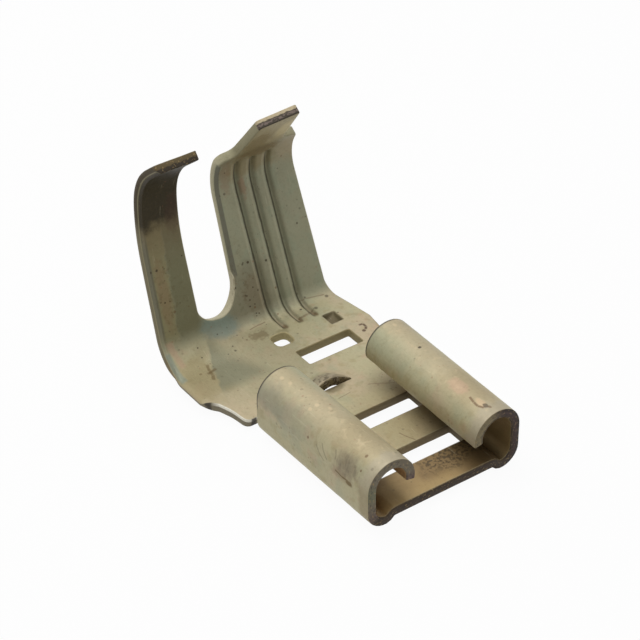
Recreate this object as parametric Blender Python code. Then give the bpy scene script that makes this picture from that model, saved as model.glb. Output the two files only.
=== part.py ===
"""Right-angle female spade terminal for a 6.3 mm tab, one folded sheet of tin-plated brass.

The part is made in the order of the press tool. A flat blank is cut out, its slots and holes
are pierced, its grooves and bevels are coined, and then every point is carried along the folds:
the two rolls of the receptacle, the two crimp wings, the tab stop and the flared wire entry.

Blank coordinates: s runs along the tab, from the mouth at s = RECEPTACLE_LENGTH through the rear
of the rolls at s = 0 to the wing tips at the negative end, and v runs across, along the wire.
Model axes: X as s on the flat floor, Y as v, Z up, with Z = 0 where the rolls stand.
Sizes are in millimetres, and the finished mesh is scaled to metres.
"""
import math

import bmesh
import bpy
from mathutils import Matrix, Vector

METRES_PER_MILLIMETRE = 0.001

# Sheet
SHEET = 0.41

# Receptacle
RECEPTACLE_LENGTH = 7.6
RECEPTACLE_WIDTH = 7.7
ROLL_HEIGHT = 3.1
ROLL_TOP_RADIUS = 1.16
ROLL_FOOT_RADIUS = 0.88
ROLL_PAST_HALF_TURN = math.radians(14)
ROLL_SPREAD_AT_REAR = 0.12
FLOOR_LIFT = 0.24
JOGGLE_RADIUS = 0.32

# Slots across the receptacle floor
SLOT_LENGTH = 1.04
SLOT_LEFT_END = 2.25
SLOT_RIGHT_END = 2.45
FRONT_SLOT_FROM_MOUTH = 1.78
SLOT_PITCH = 2.84

# Lanced tab stop behind the rolls
STOP_HALF_WIDTH = 1.02
STOP_LENGTH = 1.15
STOP_RISE = 0.47
STOP_FROM_ROLLS = 0.25
LANCE_GAP = 0.06

# Neck between the rolls and the wire floor
NOTCH_LENGTH = 0.58
NOTCH_RADIUS = 0.28
NOTCH_ROOT_GAP = 0.1
NECK_CORNER_RADIUS = 0.35
NECK_BLEND_LENGTH = 1.6

# Wire floor
FLOOR_LEFT_NECK = 4.05
FLOOR_LEFT_STEP = 4.52
FLOOR_LEFT = 4.98
FLOOR_LEFT_STEP_FROM_ROLLS = 2.05
FLOOR_LEFT_STEP_LENGTH = 0.58
FLOOR_RIGHT_NECK = 4.1
FLOOR_RIGHT = 4.52
FLOOR_RIGHT_CORNER_FROM_ROLLS = 3.5
FLOOR_CORNER_RADIUS = 0.3

# Features of the wire floor
TAIL_SLOT_FROM_ROLLS = 2.1
TAIL_SLOT_LENGTH = 1.05
TAIL_SLOT_WIDTH = 2.84
TAIL_CENTRE = 1.67
PILOT_FROM_ROLLS = 4.28
PILOT_LENGTH = 0.84
PILOT_WIDTH = 0.86
PILOT_SPACING = 2.76
PILOT_CORNER_RADIUS = 0.24
PIT_LENGTH = 0.78
PIT_WIDTH = 0.66
PIT_DEPTH_FAR_SIDE = 0.1
PIT_DEPTH_NEAR_REAR = 0.27
PIT_DEPTH_NEAR_FRONT = 0.72

# Conductor wing
WING_CENTRE = 1.785
WING_BASE_WIDTH = 4.59
WING_SHOULDER_CENTRE = 1.895
WING_SHOULDER_WIDTH = 4.03
RIGHT_SHOULDER_HIGHER = 0.3
WING_FOOT_SPREAD = 0.15
WING_FOOT_LENGTH = 1.2
WING_BEND_FROM_ROLLS = 5.52
WING_BEND_RADIUS = 1.05
WING_BEND_ANGLE = math.radians(67)
WING_STRAIGHT = 5.35
WING_CURL_RADIUS = 2.05
WING_CURL_ANGLE = math.radians(60)
SHOULDER_RADIUS = 0.45
FLAP_BASE_CENTRE = 1.86
FLAP_TIP_CENTRE = 1.94
FLAP_END_SLANT = 0.3
FLAP_LENGTH = 2.95
FLAP_BASE_WIDTH = 2.35
FLAP_TIP_WIDTH = 1.98
FLAP_CORNER_RADIUS = 0.15
FLAP_ROOT_RADIUS = 0.4

# Insulation wing
NARROW_BASE_WIDTH = 2.05
NARROW_WAIST_WIDTH = 1.87
NARROW_WAIST_BELOW_TIP = 1.3
NARROW_WAIST_RADIUS = 1.2
NARROW_TIP_WIDTH = 2.08
NARROW_BEND_FROM_ROLLS = 4.1
NARROW_BEND_RADIUS = 1.95
NARROW_BEND_ANGLE = math.radians(75)
NARROW_STRAIGHT = 3.55
NARROW_BOW_RADIUS = 8.6
NARROW_BOW_ANGLE = math.radians(19)
NARROW_CURL_RADIUS = 2.9
NARROW_CURL_ANGLE = math.radians(47)
NARROW_TIP_STRAIGHT = 0.95
NARROW_TIP_CORNER = 0.15

# Gap between the wings
GAP_BOTTOM_FROM_ROLLS = 6.7
GAP_WIDE_SIDE_RADIUS = 1.85
GAP_NARROW_SIDE_RADIUS = 0.65

# Coined grooves and bevelled wing edges
GROOVE_COUNT = 3
GROOVE_CENTRE = 1.75
GROOVE_PITCH = 0.81
GROOVE_WIDTH = 0.26
GROOVE_FLOOR_WIDTH = 0.1
GROOVE_DEPTH = 0.14
GROOVE_START_FROM_ROLLS = 4.8
GROOVE_END_BELOW_SHOULDER = 0.45
GROOVE_RUN_OUT = 0.15
BEVEL_WIDTH = 0.15
BEVEL_DEPTH = 0.24
BEVEL_RISE_ABOVE_GAP = 1.65

# Flared wire entry on the left edge of the floor
FLARE_WIDTH = 0.32
FLARE_RADIUS = 0.4
FLARE_START_FROM_ROLLS = 2.1
FLARE_RAMP = 0.45
FLARE_END_FROM_ROLLS = 4.3
FLARE_FADE = 1.2

# Fineness of the folded mesh
FOLD_STEP = math.radians(10)
BOW_STEP = math.radians(5)
BLEND_STEPS = 6
STOP_STEPS = 6
FLARE_STEPS = 3
CORNER_STEPS = 4
GAP_STEPS = 14
TOOL_OVERRUN = 0.5
FAR = 100.0
PROBE = 0.0005
WELD_DISTANCE = 0.0005


class SheetPath:
    """A line of straight runs and arcs that the middle of the sheet follows when it is folded."""

    def __init__(self, start, heading):
        self.position = Vector(start)
        self.heading = heading
        self.runs = []
        self.length = 0.0

    def add_line(self, length):
        self.add_run(length, 0.0)

    def add_arc(self, radius, angle):
        """Turn by the signed angle; a positive one turns towards the upper face."""
        self.add_run(radius * abs(angle), angle)

    def add_run(self, length, angle):
        self.runs.append((self.length, length, angle, self.position.copy(), self.heading))
        self.position = self.along(self.runs[-1], length)
        self.heading += angle
        self.length += length

    @staticmethod
    def along(run, distance):
        start_length, length, angle, position, heading = run
        if abs(angle) < 1e-9 or distance < 0.0 or distance > length + PROBE * 4:
            straight = distance
            if distance > length:
                position = SheetPath.along(run, length)
                heading += angle
                straight = distance - length
            return position + straight * Vector((math.cos(heading), math.sin(heading)))
        turn = angle * distance / length
        radius = length / angle
        step = Vector((math.sin(heading + turn) - math.sin(heading),
                       math.cos(heading) - math.cos(heading + turn)))
        return position + radius * step

    def point(self, distance):
        chosen = self.runs[0]
        for run in self.runs:
            if distance >= run[0]:
                chosen = run
        return self.along(chosen, distance - chosen[0])

    def fold_lines(self, step):
        """Distances of the lines at which the arcs are cut into facets."""
        lines = []
        for start_length, length, angle, position, heading in self.runs:
            pieces = max(1, math.ceil(abs(angle) / step))
            if abs(angle) > 1e-9:
                lines += [start_length + length * piece / pieces for piece in range(pieces + 1)]
        return lines


def smooth_step(value, low, high):
    """Rise from 0 at low to 1 at high without a kink."""
    share = min(1.0, max(0.0, (value - low) / (high - low)))
    return share * share * (3.0 - 2.0 * share)


def receptacle_path():
    """Half the receptacle's section, from its middle out, round the foot and over to the lip."""
    half_sheet = SHEET / 2
    foot_radius = ROLL_FOOT_RADIUS - half_sheet
    top_radius = ROLL_TOP_RADIUS - half_sheet
    joggle_angle = math.acos(1.0 - FLOOR_LIFT / (2.0 * JOGGLE_RADIUS))
    joggle_run = 2.0 * JOGGLE_RADIUS * math.sin(joggle_angle)
    flat = RECEPTACLE_WIDTH / 2 - ROLL_FOOT_RADIUS - joggle_run
    path = SheetPath((0.0, FLOOR_LIFT + half_sheet), 0.0)
    path.add_line(flat)
    path.add_arc(JOGGLE_RADIUS, -joggle_angle)
    path.add_arc(JOGGLE_RADIUS, joggle_angle)
    path.add_arc(foot_radius, math.pi / 2)
    path.add_line(ROLL_HEIGHT - ROLL_FOOT_RADIUS - ROLL_TOP_RADIUS)
    path.add_arc(top_radius, math.pi + ROLL_PAST_HALF_TURN)
    return path, flat


def neck_path():
    """The same section up to the foot, from which the wire floor goes straight on."""
    path = SheetPath((0.0, FLOOR_LIFT + SHEET / 2), 0.0)
    path.add_line(RECEPTACLE_FLAT)
    joggle_angle = math.acos(1.0 - FLOOR_LIFT / (2.0 * JOGGLE_RADIUS))
    path.add_arc(JOGGLE_RADIUS, -joggle_angle)
    path.add_arc(JOGGLE_RADIUS, joggle_angle)
    return path


def wing_path():
    """Side profile of the conductor wing, from the rear of the rolls backwards."""
    path = SheetPath((0.0, FLOOR_LIFT + SHEET / 2), 0.0)
    path.add_line(WING_BEND_FROM_ROLLS)
    path.add_arc(WING_BEND_RADIUS, WING_BEND_ANGLE)
    path.add_line(WING_STRAIGHT)
    path.add_arc(WING_CURL_RADIUS, WING_CURL_ANGLE)
    return path


def narrow_path():
    """Side profile of the insulation wing, which rises in a wider bend."""
    path = SheetPath((0.0, FLOOR_LIFT + SHEET / 2), 0.0)
    path.add_line(NARROW_BEND_FROM_ROLLS)
    path.add_arc(NARROW_BEND_RADIUS, NARROW_BEND_ANGLE)
    path.add_line(NARROW_STRAIGHT)
    path.add_arc(NARROW_BOW_RADIUS, NARROW_BOW_ANGLE)
    path.add_arc(NARROW_CURL_RADIUS, NARROW_CURL_ANGLE)
    path.add_line(NARROW_TIP_STRAIGHT)
    return path


RECEPTACLE, RECEPTACLE_FLAT = receptacle_path()
NECK = neck_path()
WING = wing_path()
NARROW = narrow_path()

ROLL_EDGE = RECEPTACLE.length
NOTCH_ROOT = NECK.length - NOTCH_ROOT_GAP
WING_LEFT = WING_CENTRE - WING_BASE_WIDTH / 2
NARROW_RIGHT = -FLOOR_LEFT + NARROW_BASE_WIDTH
SHOULDER = WING.length
STOP_FRONT = -STOP_FROM_ROLLS


def wing_edge(s, side):
    """The conductor wing's left (-1) or right (1) edge, straight from its bend to its shoulder."""
    share = (-s - WING_BEND_FROM_ROLLS) / (SHOULDER - WING_BEND_FROM_ROLLS)
    base = WING_CENTRE + side * WING_BASE_WIDTH / 2
    shoulder = WING_SHOULDER_CENTRE + side * WING_SHOULDER_WIDTH / 2
    return base + (shoulder - base) * min(1.0, max(0.0, share))


def blank_corners():
    """The blank's outline, counterclockwise from the mouth: s, v, corner radius, arc steps."""
    left_step_end = FLOOR_LEFT_STEP_FROM_ROLLS + FLOOR_LEFT_STEP_LENGTH
    wing_foot_end = -WING_BEND_FROM_ROLLS - WING_FOOT_LENGTH
    wing_foot = WING_CENTRE + WING_BASE_WIDTH / 2 + WING_FOOT_SPREAD
    right_shoulder = -SHOULDER - RIGHT_SHOULDER_HIGHER
    tip = SHOULDER + FLAP_LENGTH
    narrow_waist = -NARROW.length + NARROW_WAIST_BELOW_TIP
    gap_bottom = -GAP_BOTTOM_FROM_ROLLS
    return [
        (RECEPTACLE_LENGTH, -ROLL_EDGE, 0.0, 0),
        (RECEPTACLE_LENGTH, ROLL_EDGE, 0.0, 0),
        (0.0, ROLL_EDGE, 0.0, 0),
        (0.0, NOTCH_ROOT, NOTCH_RADIUS, CORNER_STEPS),
        (-NOTCH_LENGTH, NOTCH_ROOT, NOTCH_RADIUS, CORNER_STEPS),
        (-NOTCH_LENGTH, FLOOR_RIGHT_NECK, NECK_CORNER_RADIUS, CORNER_STEPS),
        (-FLOOR_RIGHT_CORNER_FROM_ROLLS, FLOOR_RIGHT, FLOOR_CORNER_RADIUS, CORNER_STEPS),
        (-WING_BEND_FROM_ROLLS, wing_foot, 0.0, 0),
        (wing_foot_end, wing_edge(wing_foot_end, 1), 0.0, 0),
        (right_shoulder, wing_edge(-SHOULDER, 1), SHOULDER_RADIUS, CORNER_STEPS),
        (right_shoulder, FLAP_BASE_CENTRE + FLAP_BASE_WIDTH / 2, FLAP_ROOT_RADIUS, CORNER_STEPS),
        (-tip, FLAP_TIP_CENTRE + FLAP_TIP_WIDTH / 2, FLAP_CORNER_RADIUS, CORNER_STEPS),
        (FLAP_END_SLANT - tip, FLAP_TIP_CENTRE - FLAP_TIP_WIDTH / 2, FLAP_CORNER_RADIUS, CORNER_STEPS),
        (-SHOULDER, FLAP_BASE_CENTRE - FLAP_BASE_WIDTH / 2, FLAP_ROOT_RADIUS, CORNER_STEPS),
        (-SHOULDER, wing_edge(-SHOULDER, -1), SHOULDER_RADIUS, CORNER_STEPS),
        (gap_bottom, WING_LEFT, GAP_WIDE_SIDE_RADIUS, GAP_STEPS),
        (gap_bottom, NARROW_RIGHT, GAP_NARROW_SIDE_RADIUS, CORNER_STEPS),
        (narrow_waist, -FLOOR_LEFT + NARROW_WAIST_WIDTH, NARROW_WAIST_RADIUS, CORNER_STEPS),
        (-NARROW.length, -FLOOR_LEFT + NARROW_TIP_WIDTH, NARROW_TIP_CORNER, CORNER_STEPS),
        (-NARROW.length, -FLOOR_LEFT, NARROW_TIP_CORNER, CORNER_STEPS),
        (-left_step_end, -FLOOR_LEFT, FLOOR_CORNER_RADIUS, CORNER_STEPS),
        (-FLOOR_LEFT_STEP_FROM_ROLLS, -FLOOR_LEFT_STEP, FLOOR_CORNER_RADIUS, CORNER_STEPS),
        (-NOTCH_LENGTH, -FLOOR_LEFT_NECK, NECK_CORNER_RADIUS, CORNER_STEPS),
        (-NOTCH_LENGTH, -NOTCH_ROOT, NOTCH_RADIUS, CORNER_STEPS),
        (0.0, -NOTCH_ROOT, NOTCH_RADIUS, CORNER_STEPS),
        (0.0, -ROLL_EDGE, 0.0, 0),
    ]


def rounded(corners):
    """Replace each corner that has a radius by an arc."""
    points = []
    count = len(corners)
    for index, (s, v, radius, steps) in enumerate(corners):
        corner = Vector((s, v))
        if radius <= 0.0:
            points.append(corner)
            continue
        before = (Vector(corners[index - 1][:2]) - corner).normalized()
        after = (Vector(corners[(index + 1) % count][:2]) - corner).normalized()
        half_angle = before.angle(after) / 2
        setback = radius / math.tan(half_angle)
        centre = corner + (before + after).normalized() * radius / math.sin(half_angle)
        first = corner + before * setback - centre
        last = corner + after * setback - centre
        turn = first.angle_signed(last)
        for step in range(steps + 1):
            points.append(centre + Matrix.Rotation(-turn * step / steps, 2) @ first)
    return points


def add_prism(bm, lower, upper):
    """Add a closed solid between two outlines with as many points, the upper one above."""
    low_ring = [bm.verts.new(point) for point in lower]
    high_ring = [bm.verts.new(point) for point in upper]
    bm.faces.new(reversed(low_ring))
    bm.faces.new(high_ring)
    for index, low in enumerate(low_ring):
        following = (index + 1) % len(low_ring)
        bm.faces.new((low, low_ring[following], high_ring[following], high_ring[index]))


def rectangle(s_low, s_high, v_low, v_high, height):
    return [(s_low, v_low, height), (s_high, v_low, height),
            (s_high, v_high, height), (s_low, v_high, height)]


def add_piercing(bm, s_low, s_high, v_low, v_high, corner_radius=0.0):
    reach = SHEET / 2 + TOOL_OVERRUN
    corners = [(s, v, corner_radius, CORNER_STEPS)
               for s, v, height in rectangle(s_low, s_high, v_low, v_high, reach)]
    outline = rounded(corners)
    add_prism(bm, [(point.x, point.y, -reach) for point in outline],
              [(point.x, point.y, reach) for point in outline])


def add_piercings(bm):
    """The three slots, the pilot hole and the cut in front of the tab stop."""
    front = RECEPTACLE_LENGTH - FRONT_SLOT_FROM_MOUTH
    for number in range(2):
        slot_front = front - number * SLOT_PITCH
        add_piercing(bm, slot_front - SLOT_LENGTH, slot_front, -SLOT_LEFT_END, SLOT_RIGHT_END)
    tail_front = -TAIL_SLOT_FROM_ROLLS
    add_piercing(bm, tail_front - TAIL_SLOT_LENGTH, tail_front,
                 TAIL_CENTRE - TAIL_SLOT_WIDTH / 2, TAIL_CENTRE + TAIL_SLOT_WIDTH / 2)
    pilot_v = TAIL_CENTRE - PILOT_SPACING / 2
    add_piercing(bm, -PILOT_FROM_ROLLS - PILOT_LENGTH / 2, -PILOT_FROM_ROLLS + PILOT_LENGTH / 2,
                 pilot_v - PILOT_WIDTH / 2, pilot_v + PILOT_WIDTH / 2, PILOT_CORNER_RADIUS)
    add_piercing(bm, STOP_FRONT, STOP_FRONT + LANCE_GAP, -STOP_HALF_WIDTH, STOP_HALF_WIDTH)


def add_pit(bm):
    """The square pit beside the slot, deepest at its near front corner, where it breaks through."""
    top = SHEET / 2
    centre_v = TAIL_CENTRE + PILOT_SPACING / 2
    s_low = -PILOT_FROM_ROLLS - PIT_LENGTH / 2
    v_low = centre_v - PIT_WIDTH / 2
    upper = rectangle(s_low, s_low + PIT_LENGTH, v_low, v_low + PIT_WIDTH, top + TOOL_OVERRUN)
    depths = (PIT_DEPTH_NEAR_REAR, PIT_DEPTH_NEAR_FRONT, PIT_DEPTH_FAR_SIDE, PIT_DEPTH_FAR_SIDE)
    lower = [(s, v, top - depth) for (s, v, height), depth in zip(upper, depths)]
    add_prism(bm, lower, upper)


def add_grooves(bm):
    """Three long grooves in the conductor wing's inner face, with sloping sides and ends."""
    top = SHEET / 2
    s_high = -GROOVE_START_FROM_ROLLS
    s_low = -(SHOULDER - GROOVE_END_BELOW_SHOULDER)
    rise = 1.0 + TOOL_OVERRUN / GROOVE_DEPTH
    for number in range(GROOVE_COUNT):
        v = GROOVE_CENTRE + (number - (GROOVE_COUNT - 1) / 2) * GROOVE_PITCH
        half_floor = GROOVE_FLOOR_WIDTH / 2
        half_rim = half_floor + (GROOVE_WIDTH - GROOVE_FLOOR_WIDTH) / 2 * rise
        run_out = GROOVE_RUN_OUT * (rise - 1.0)
        lower = rectangle(s_low + GROOVE_RUN_OUT, s_high - GROOVE_RUN_OUT,
                          v - half_floor, v + half_floor, top - GROOVE_DEPTH)
        upper = rectangle(s_low - run_out, s_high + run_out,
                          v - half_rim, v + half_rim, top + TOOL_OVERRUN)
        add_prism(bm, lower, upper)


def add_bevel(bm, start, end):
    """A long wedge that takes the upper corner off a wing's left edge between two blank points."""
    top = SHEET / 2
    steep = BEVEL_DEPTH / BEVEL_WIDTH
    section = [(TOOL_OVERRUN + BEVEL_WIDTH, top + TOOL_OVERRUN * steep),
               (-TOOL_OVERRUN, top - BEVEL_DEPTH - TOOL_OVERRUN * steep),
               (-TOOL_OVERRUN, top + TOOL_OVERRUN * steep)]
    rings = []
    for s, v in (start, end):
        rings.append([bm.verts.new((s, v + inward, height)) for inward, height in section])
    bm.faces.new(rings[0])
    bm.faces.new(reversed(rings[1]))
    for index in range(len(section)):
        following = (index + 1) % len(section)
        bm.faces.new((rings[0][following], rings[0][index], rings[1][index], rings[1][following]))


def add_bevels(bm):
    """Bevels along the left edges of both wings."""
    wing_low = -(GAP_BOTTOM_FROM_ROLLS + BEVEL_RISE_ABOVE_GAP)
    wing_high = -(SHOULDER - SHOULDER_RADIUS)
    add_bevel(bm, (wing_low, wing_edge(wing_low, -1)), (wing_high, wing_edge(wing_high, -1)))
    narrow_low = -FLARE_END_FROM_ROLLS
    add_bevel(bm, (narrow_low, -FLOOR_LEFT), (-NARROW.length - TOOL_OVERRUN, -FLOOR_LEFT))


def make_blank():
    """The flat blank: outline raised to the sheet's thickness, then pierced and coined."""
    bm = bmesh.new()
    half = SHEET / 2
    outline = rounded(blank_corners())
    add_prism(bm, [(point.x, point.y, -half) for point in outline],
              [(point.x, point.y, half) for point in outline])
    blank = new_object("blank", bm)

    bm = bmesh.new()
    add_piercings(bm)
    add_pit(bm)
    add_grooves(bm)
    add_bevels(bm)
    bmesh.ops.recalc_face_normals(bm, faces=bm.faces)
    tools = new_object("press_tools", bm)
    tools.hide_render = True
    tools.display_type = "WIRE"

    cut = blank.modifiers.new("pierce_and_coin", "BOOLEAN")
    cut.object = tools
    cut.operation = "DIFFERENCE"
    cut.solver = "EXACT"
    bpy.context.view_layer.update()
    graph = bpy.context.evaluated_depsgraph_get()
    pressed = bpy.data.meshes.new_from_object(blank.evaluated_get(graph))
    for spent in (blank, tools):
        bpy.data.objects.remove(spent)
    return pressed


def new_object(name, bm):
    mesh = bpy.data.meshes.new(name)
    bm.to_mesh(mesh)
    bm.free()
    thing = bpy.data.objects.new(name, mesh)
    bpy.context.scene.collection.objects.link(thing)
    return thing


def score(bm, axis, values, s_range, v_range):
    """Cut lines into the part of the blank inside a window, where the sheet will be folded."""
    for value in values:
        faces = []
        for face in bm.faces:
            middle = face.calc_center_bounds()
            if s_range[0] <= middle.x <= s_range[1] and v_range[0] <= middle.y <= v_range[1]:
                faces.append(face)
        edges = {edge for face in faces for edge in face.edges}
        verts = {vert for face in faces for vert in face.verts}
        place = Vector((value, 0.0, 0.0)) if axis == 0 else Vector((0.0, value, 0.0))
        across = Vector((1.0, 0.0, 0.0)) if axis == 0 else Vector((0.0, 1.0, 0.0))
        bmesh.ops.bisect_plane(bm, geom=list(verts) + list(edges) + faces, dist=WELD_DISTANCE,
                               plane_co=place, plane_no=across)


def spread(low, high, steps):
    return [low + (high - low) * step / steps for step in range(steps + 1)]


def score_folds(bm):
    """All lines along which the blank bends, zone by zone."""
    everywhere = (-FAR, FAR)
    behind_notch = (-FAR, -NOTCH_LENGTH)
    neck = (-NECK_BLEND_LENGTH, 0.0)
    score(bm, 0, [0.0, -NECK_BLEND_LENGTH, -NARROW_BEND_FROM_ROLLS, -WING_BEND_FROM_ROLLS],
          everywhere, everywhere)
    for side in (-1, 1):
        beside_flat = sorted((side * RECEPTACLE_FLAT, side * FAR))
        joggle = [side * line for line in NECK.fold_lines(FOLD_STEP)]
        roll = [side * line for line in RECEPTACLE.fold_lines(FOLD_STEP)]
        score(bm, 1, joggle, neck, everywhere)
        score(bm, 0, spread(neck[0], neck[1], BLEND_STEPS), neck, beside_flat)
        score(bm, 1, roll, (0.0, FAR), everywhere)

    between_wings = (NARROW_RIGHT, WING_LEFT)
    below_gap = (-GAP_BOTTOM_FROM_ROLLS - GAP_WIDE_SIDE_RADIUS, -NOTCH_LENGTH)
    wing_lines = [-line for line in WING.fold_lines(FOLD_STEP)]
    narrow_lines = [-line for line in NARROW.fold_lines(FOLD_STEP)]
    narrow_lines += [-line for line in NARROW.fold_lines(BOW_STEP)
                     if line > NARROW_BEND_FROM_ROLLS + NARROW_BEND_RADIUS * NARROW_BEND_ANGLE]
    score(bm, 1, between_wings, behind_notch, everywhere)
    score(bm, 1, spread(NARROW_RIGHT, WING_LEFT, BLEND_STEPS), below_gap, between_wings)
    score(bm, 0, wing_lines, behind_notch, (WING_LEFT, FAR))
    score(bm, 0, narrow_lines, behind_notch, (-FAR, NARROW_RIGHT))
    score(bm, 0, sorted(wing_lines + narrow_lines), below_gap, between_wings)

    stop = (STOP_FRONT - STOP_LENGTH, STOP_FRONT)
    score(bm, 0, stop, (-NECK_BLEND_LENGTH, 0.0), everywhere)
    score(bm, 1, spread(-STOP_HALF_WIDTH, STOP_HALF_WIDTH, 2 * STOP_STEPS), stop, everywhere)
    score(bm, 0, spread(stop[0], stop[1], STOP_STEPS), stop, (-STOP_HALF_WIDTH, STOP_HALF_WIDTH))

    flare_high = -FLARE_START_FROM_ROLLS
    flare = (-FLARE_END_FROM_ROLLS - FLARE_FADE, flare_high)
    flare_edge = (-FLOOR_LEFT, -FLOOR_LEFT + FLARE_WIDTH)
    ramp = spread(flare_high - FLARE_RAMP, flare_high, FLARE_STEPS)
    score(bm, 0, [flare_high], (-NARROW_BEND_FROM_ROLLS, -NECK_BLEND_LENGTH), (-FAR, NARROW_RIGHT))
    score(bm, 1, [flare_edge[1]], flare, everywhere)
    score(bm, 1, spread(flare_edge[0], flare_edge[1], FLARE_STEPS), flare, flare_edge)
    score(bm, 0, ramp, flare, flare_edge)


def stop_height(s, v):
    """Rise of the lanced tab stop, highest at its cut front edge."""
    if s > STOP_FRONT + LANCE_GAP / 2 or s < STOP_FRONT - STOP_LENGTH:
        return 0.0
    across = min(1.0, abs(v) / STOP_HALF_WIDTH)
    along = min(1.0, max(0.0, (STOP_FRONT - s) / STOP_LENGTH))
    return STOP_RISE * (1.0 - across * across) ** 1.5 * (1.0 - along * along * (3.0 - 2.0 * along))


def flare_share(s):
    """How far the floor's left edge is turned down, from 0 to 1 along its length."""
    start = smooth_step(-s, FLARE_START_FROM_ROLLS, FLARE_START_FROM_ROLLS + FLARE_RAMP)
    end = smooth_step(-s, FLARE_END_FROM_ROLLS, FLARE_END_FROM_ROLLS + FLARE_FADE)
    return start * (1.0 - end)


def middle_point(s, v, in_receptacle):
    """Where a point of the blank's middle plane lies once the sheet is folded."""
    outward = ROLL_SPREAD_AT_REAR * min(1.0, abs(v) / RECEPTACLE_FLAT)
    if in_receptacle:
        across, height = RECEPTACLE.point(abs(v))
        across += outward * (1.0 - s / RECEPTACLE_LENGTH)
        return Vector((s, math.copysign(across, v), height))
    wing_share = smooth_step(v, NARROW_RIGHT, WING_LEFT)
    side = NARROW.point(-s).lerp(WING.point(-s), wing_share)
    across, height = NECK.point(abs(v))
    neck_share = smooth_step(s, -NECK_BLEND_LENGTH, 0.0)
    sunk = (FLOOR_LIFT + SHEET / 2 - height) * neck_share
    shift = (across + outward - abs(v)) * neck_share
    point = Vector((-side.x, v + math.copysign(shift, v), side.y + stop_height(s, v) - sunk))
    past_flare_line = -FLOOR_LEFT + FLARE_WIDTH - v
    share = flare_share(s)
    if past_flare_line > 0.0 and share > 0.001:
        radius = FLARE_RADIUS / share
        turn = past_flare_line / radius
        point.y = v + past_flare_line - radius * math.sin(turn)
        ahead = NARROW.point(-s + PROBE) - NARROW.point(-s)
        outside = Vector((-ahead.y, 0.0, -ahead.x)).normalized()
        point += outside * radius * (1.0 - math.cos(turn))
    return point


def folded(position):
    """Carry one point of the flat, coined blank along the folds."""
    s, v, offset = position
    in_receptacle = s >= -PROBE
    step = PROBE if in_receptacle else -PROBE
    middle = middle_point(s, v, in_receptacle)
    along = (middle_point(s + step, v, in_receptacle) - middle) / step
    beside = PROBE if v < 0.0 else -PROBE
    across = (middle_point(s, v + beside, in_receptacle) - middle) / beside
    return middle + along.cross(across).normalized() * offset


def fold_blank(pressed):
    """Score the pressed blank, fold it and return the finished mesh in metres."""
    bm = bmesh.new()
    bm.from_mesh(pressed)
    bmesh.ops.dissolve_limit(bm, angle_limit=0.001, verts=bm.verts, edges=bm.edges)
    score_folds(bm)
    bmesh.ops.remove_doubles(bm, verts=bm.verts, dist=WELD_DISTANCE)
    bmesh.ops.triangulate(bm, faces=bm.faces)
    for vert in bm.verts:
        vert.co = folded(vert.co)
    low = Vector([min(vert.co[axis] for vert in bm.verts) for axis in range(3)])
    high = Vector([max(vert.co[axis] for vert in bm.verts) for axis in range(3)])
    footprint_centre = Vector(((low.x + high.x) / 2, (low.y + high.y) / 2, low.z))
    for vert in bm.verts:
        vert.co = (vert.co - footprint_centre) * METRES_PER_MILLIMETRE
    bm.to_mesh(pressed)
    bm.free()
    return pressed


def tinned_brass():
    """Dull, slightly warm tin plating."""
    material = bpy.data.materials.new("tinned_brass")
    material.use_nodes = True
    shader = material.node_tree.nodes["Principled BSDF"]
    shader.inputs["Base Color"].default_value = (0.44, 0.40, 0.28, 1.0)
    shader.inputs["Metallic"].default_value = 1.0
    shader.inputs["Roughness"].default_value = 0.45
    return material


def main():
    for thing in list(bpy.data.objects):
        bpy.data.objects.remove(thing)
    mesh = fold_blank(make_blank())
    mesh.name = "terminal"
    mesh.materials.clear()
    mesh.materials.append(tinned_brass())
    mesh.shade_smooth()
    mesh.set_sharp_from_angle(angle=math.radians(30))
    terminal = bpy.data.objects.new("terminal", mesh)
    bpy.context.scene.collection.objects.link(terminal)


main()
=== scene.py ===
"""Looks of the right-angle female spade terminal: one folded sheet of aged, tin-plated brass.

The sheet is drawn flat as an even, fine mesh with rounded shear edges, coined grooves and bevels,
and then carried along the same folds as the solid. Blank coordinates: s runs along the tab and v
across it, in millimetres, as in the part's source.
"""
import math

import bpy
import numpy as np
from mathutils import Matrix, Vector, geometry, noise


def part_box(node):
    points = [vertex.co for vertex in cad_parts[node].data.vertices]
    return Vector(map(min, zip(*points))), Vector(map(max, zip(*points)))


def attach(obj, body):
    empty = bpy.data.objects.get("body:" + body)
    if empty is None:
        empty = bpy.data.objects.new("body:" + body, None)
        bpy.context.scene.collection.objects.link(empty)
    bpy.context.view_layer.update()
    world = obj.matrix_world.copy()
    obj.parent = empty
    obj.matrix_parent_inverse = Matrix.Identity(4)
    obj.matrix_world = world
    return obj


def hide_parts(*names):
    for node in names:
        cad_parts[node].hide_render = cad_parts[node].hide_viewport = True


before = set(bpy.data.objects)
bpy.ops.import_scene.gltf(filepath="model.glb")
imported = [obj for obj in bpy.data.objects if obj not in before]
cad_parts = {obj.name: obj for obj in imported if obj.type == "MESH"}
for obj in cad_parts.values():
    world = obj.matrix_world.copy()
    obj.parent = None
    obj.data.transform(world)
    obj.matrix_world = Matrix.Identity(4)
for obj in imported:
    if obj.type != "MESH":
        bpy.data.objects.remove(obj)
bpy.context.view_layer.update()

MM = 0.001

# One material for each region of the sheet, because one shader with every layer is too large
MATERIALS = ("receptacle_plating", "wing_plating", "sheared_edge")
RECEPTACLE_PAINT_FROM = 0.5
ROLL_PAINT_PAST_MIDDLE = 3.3

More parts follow.
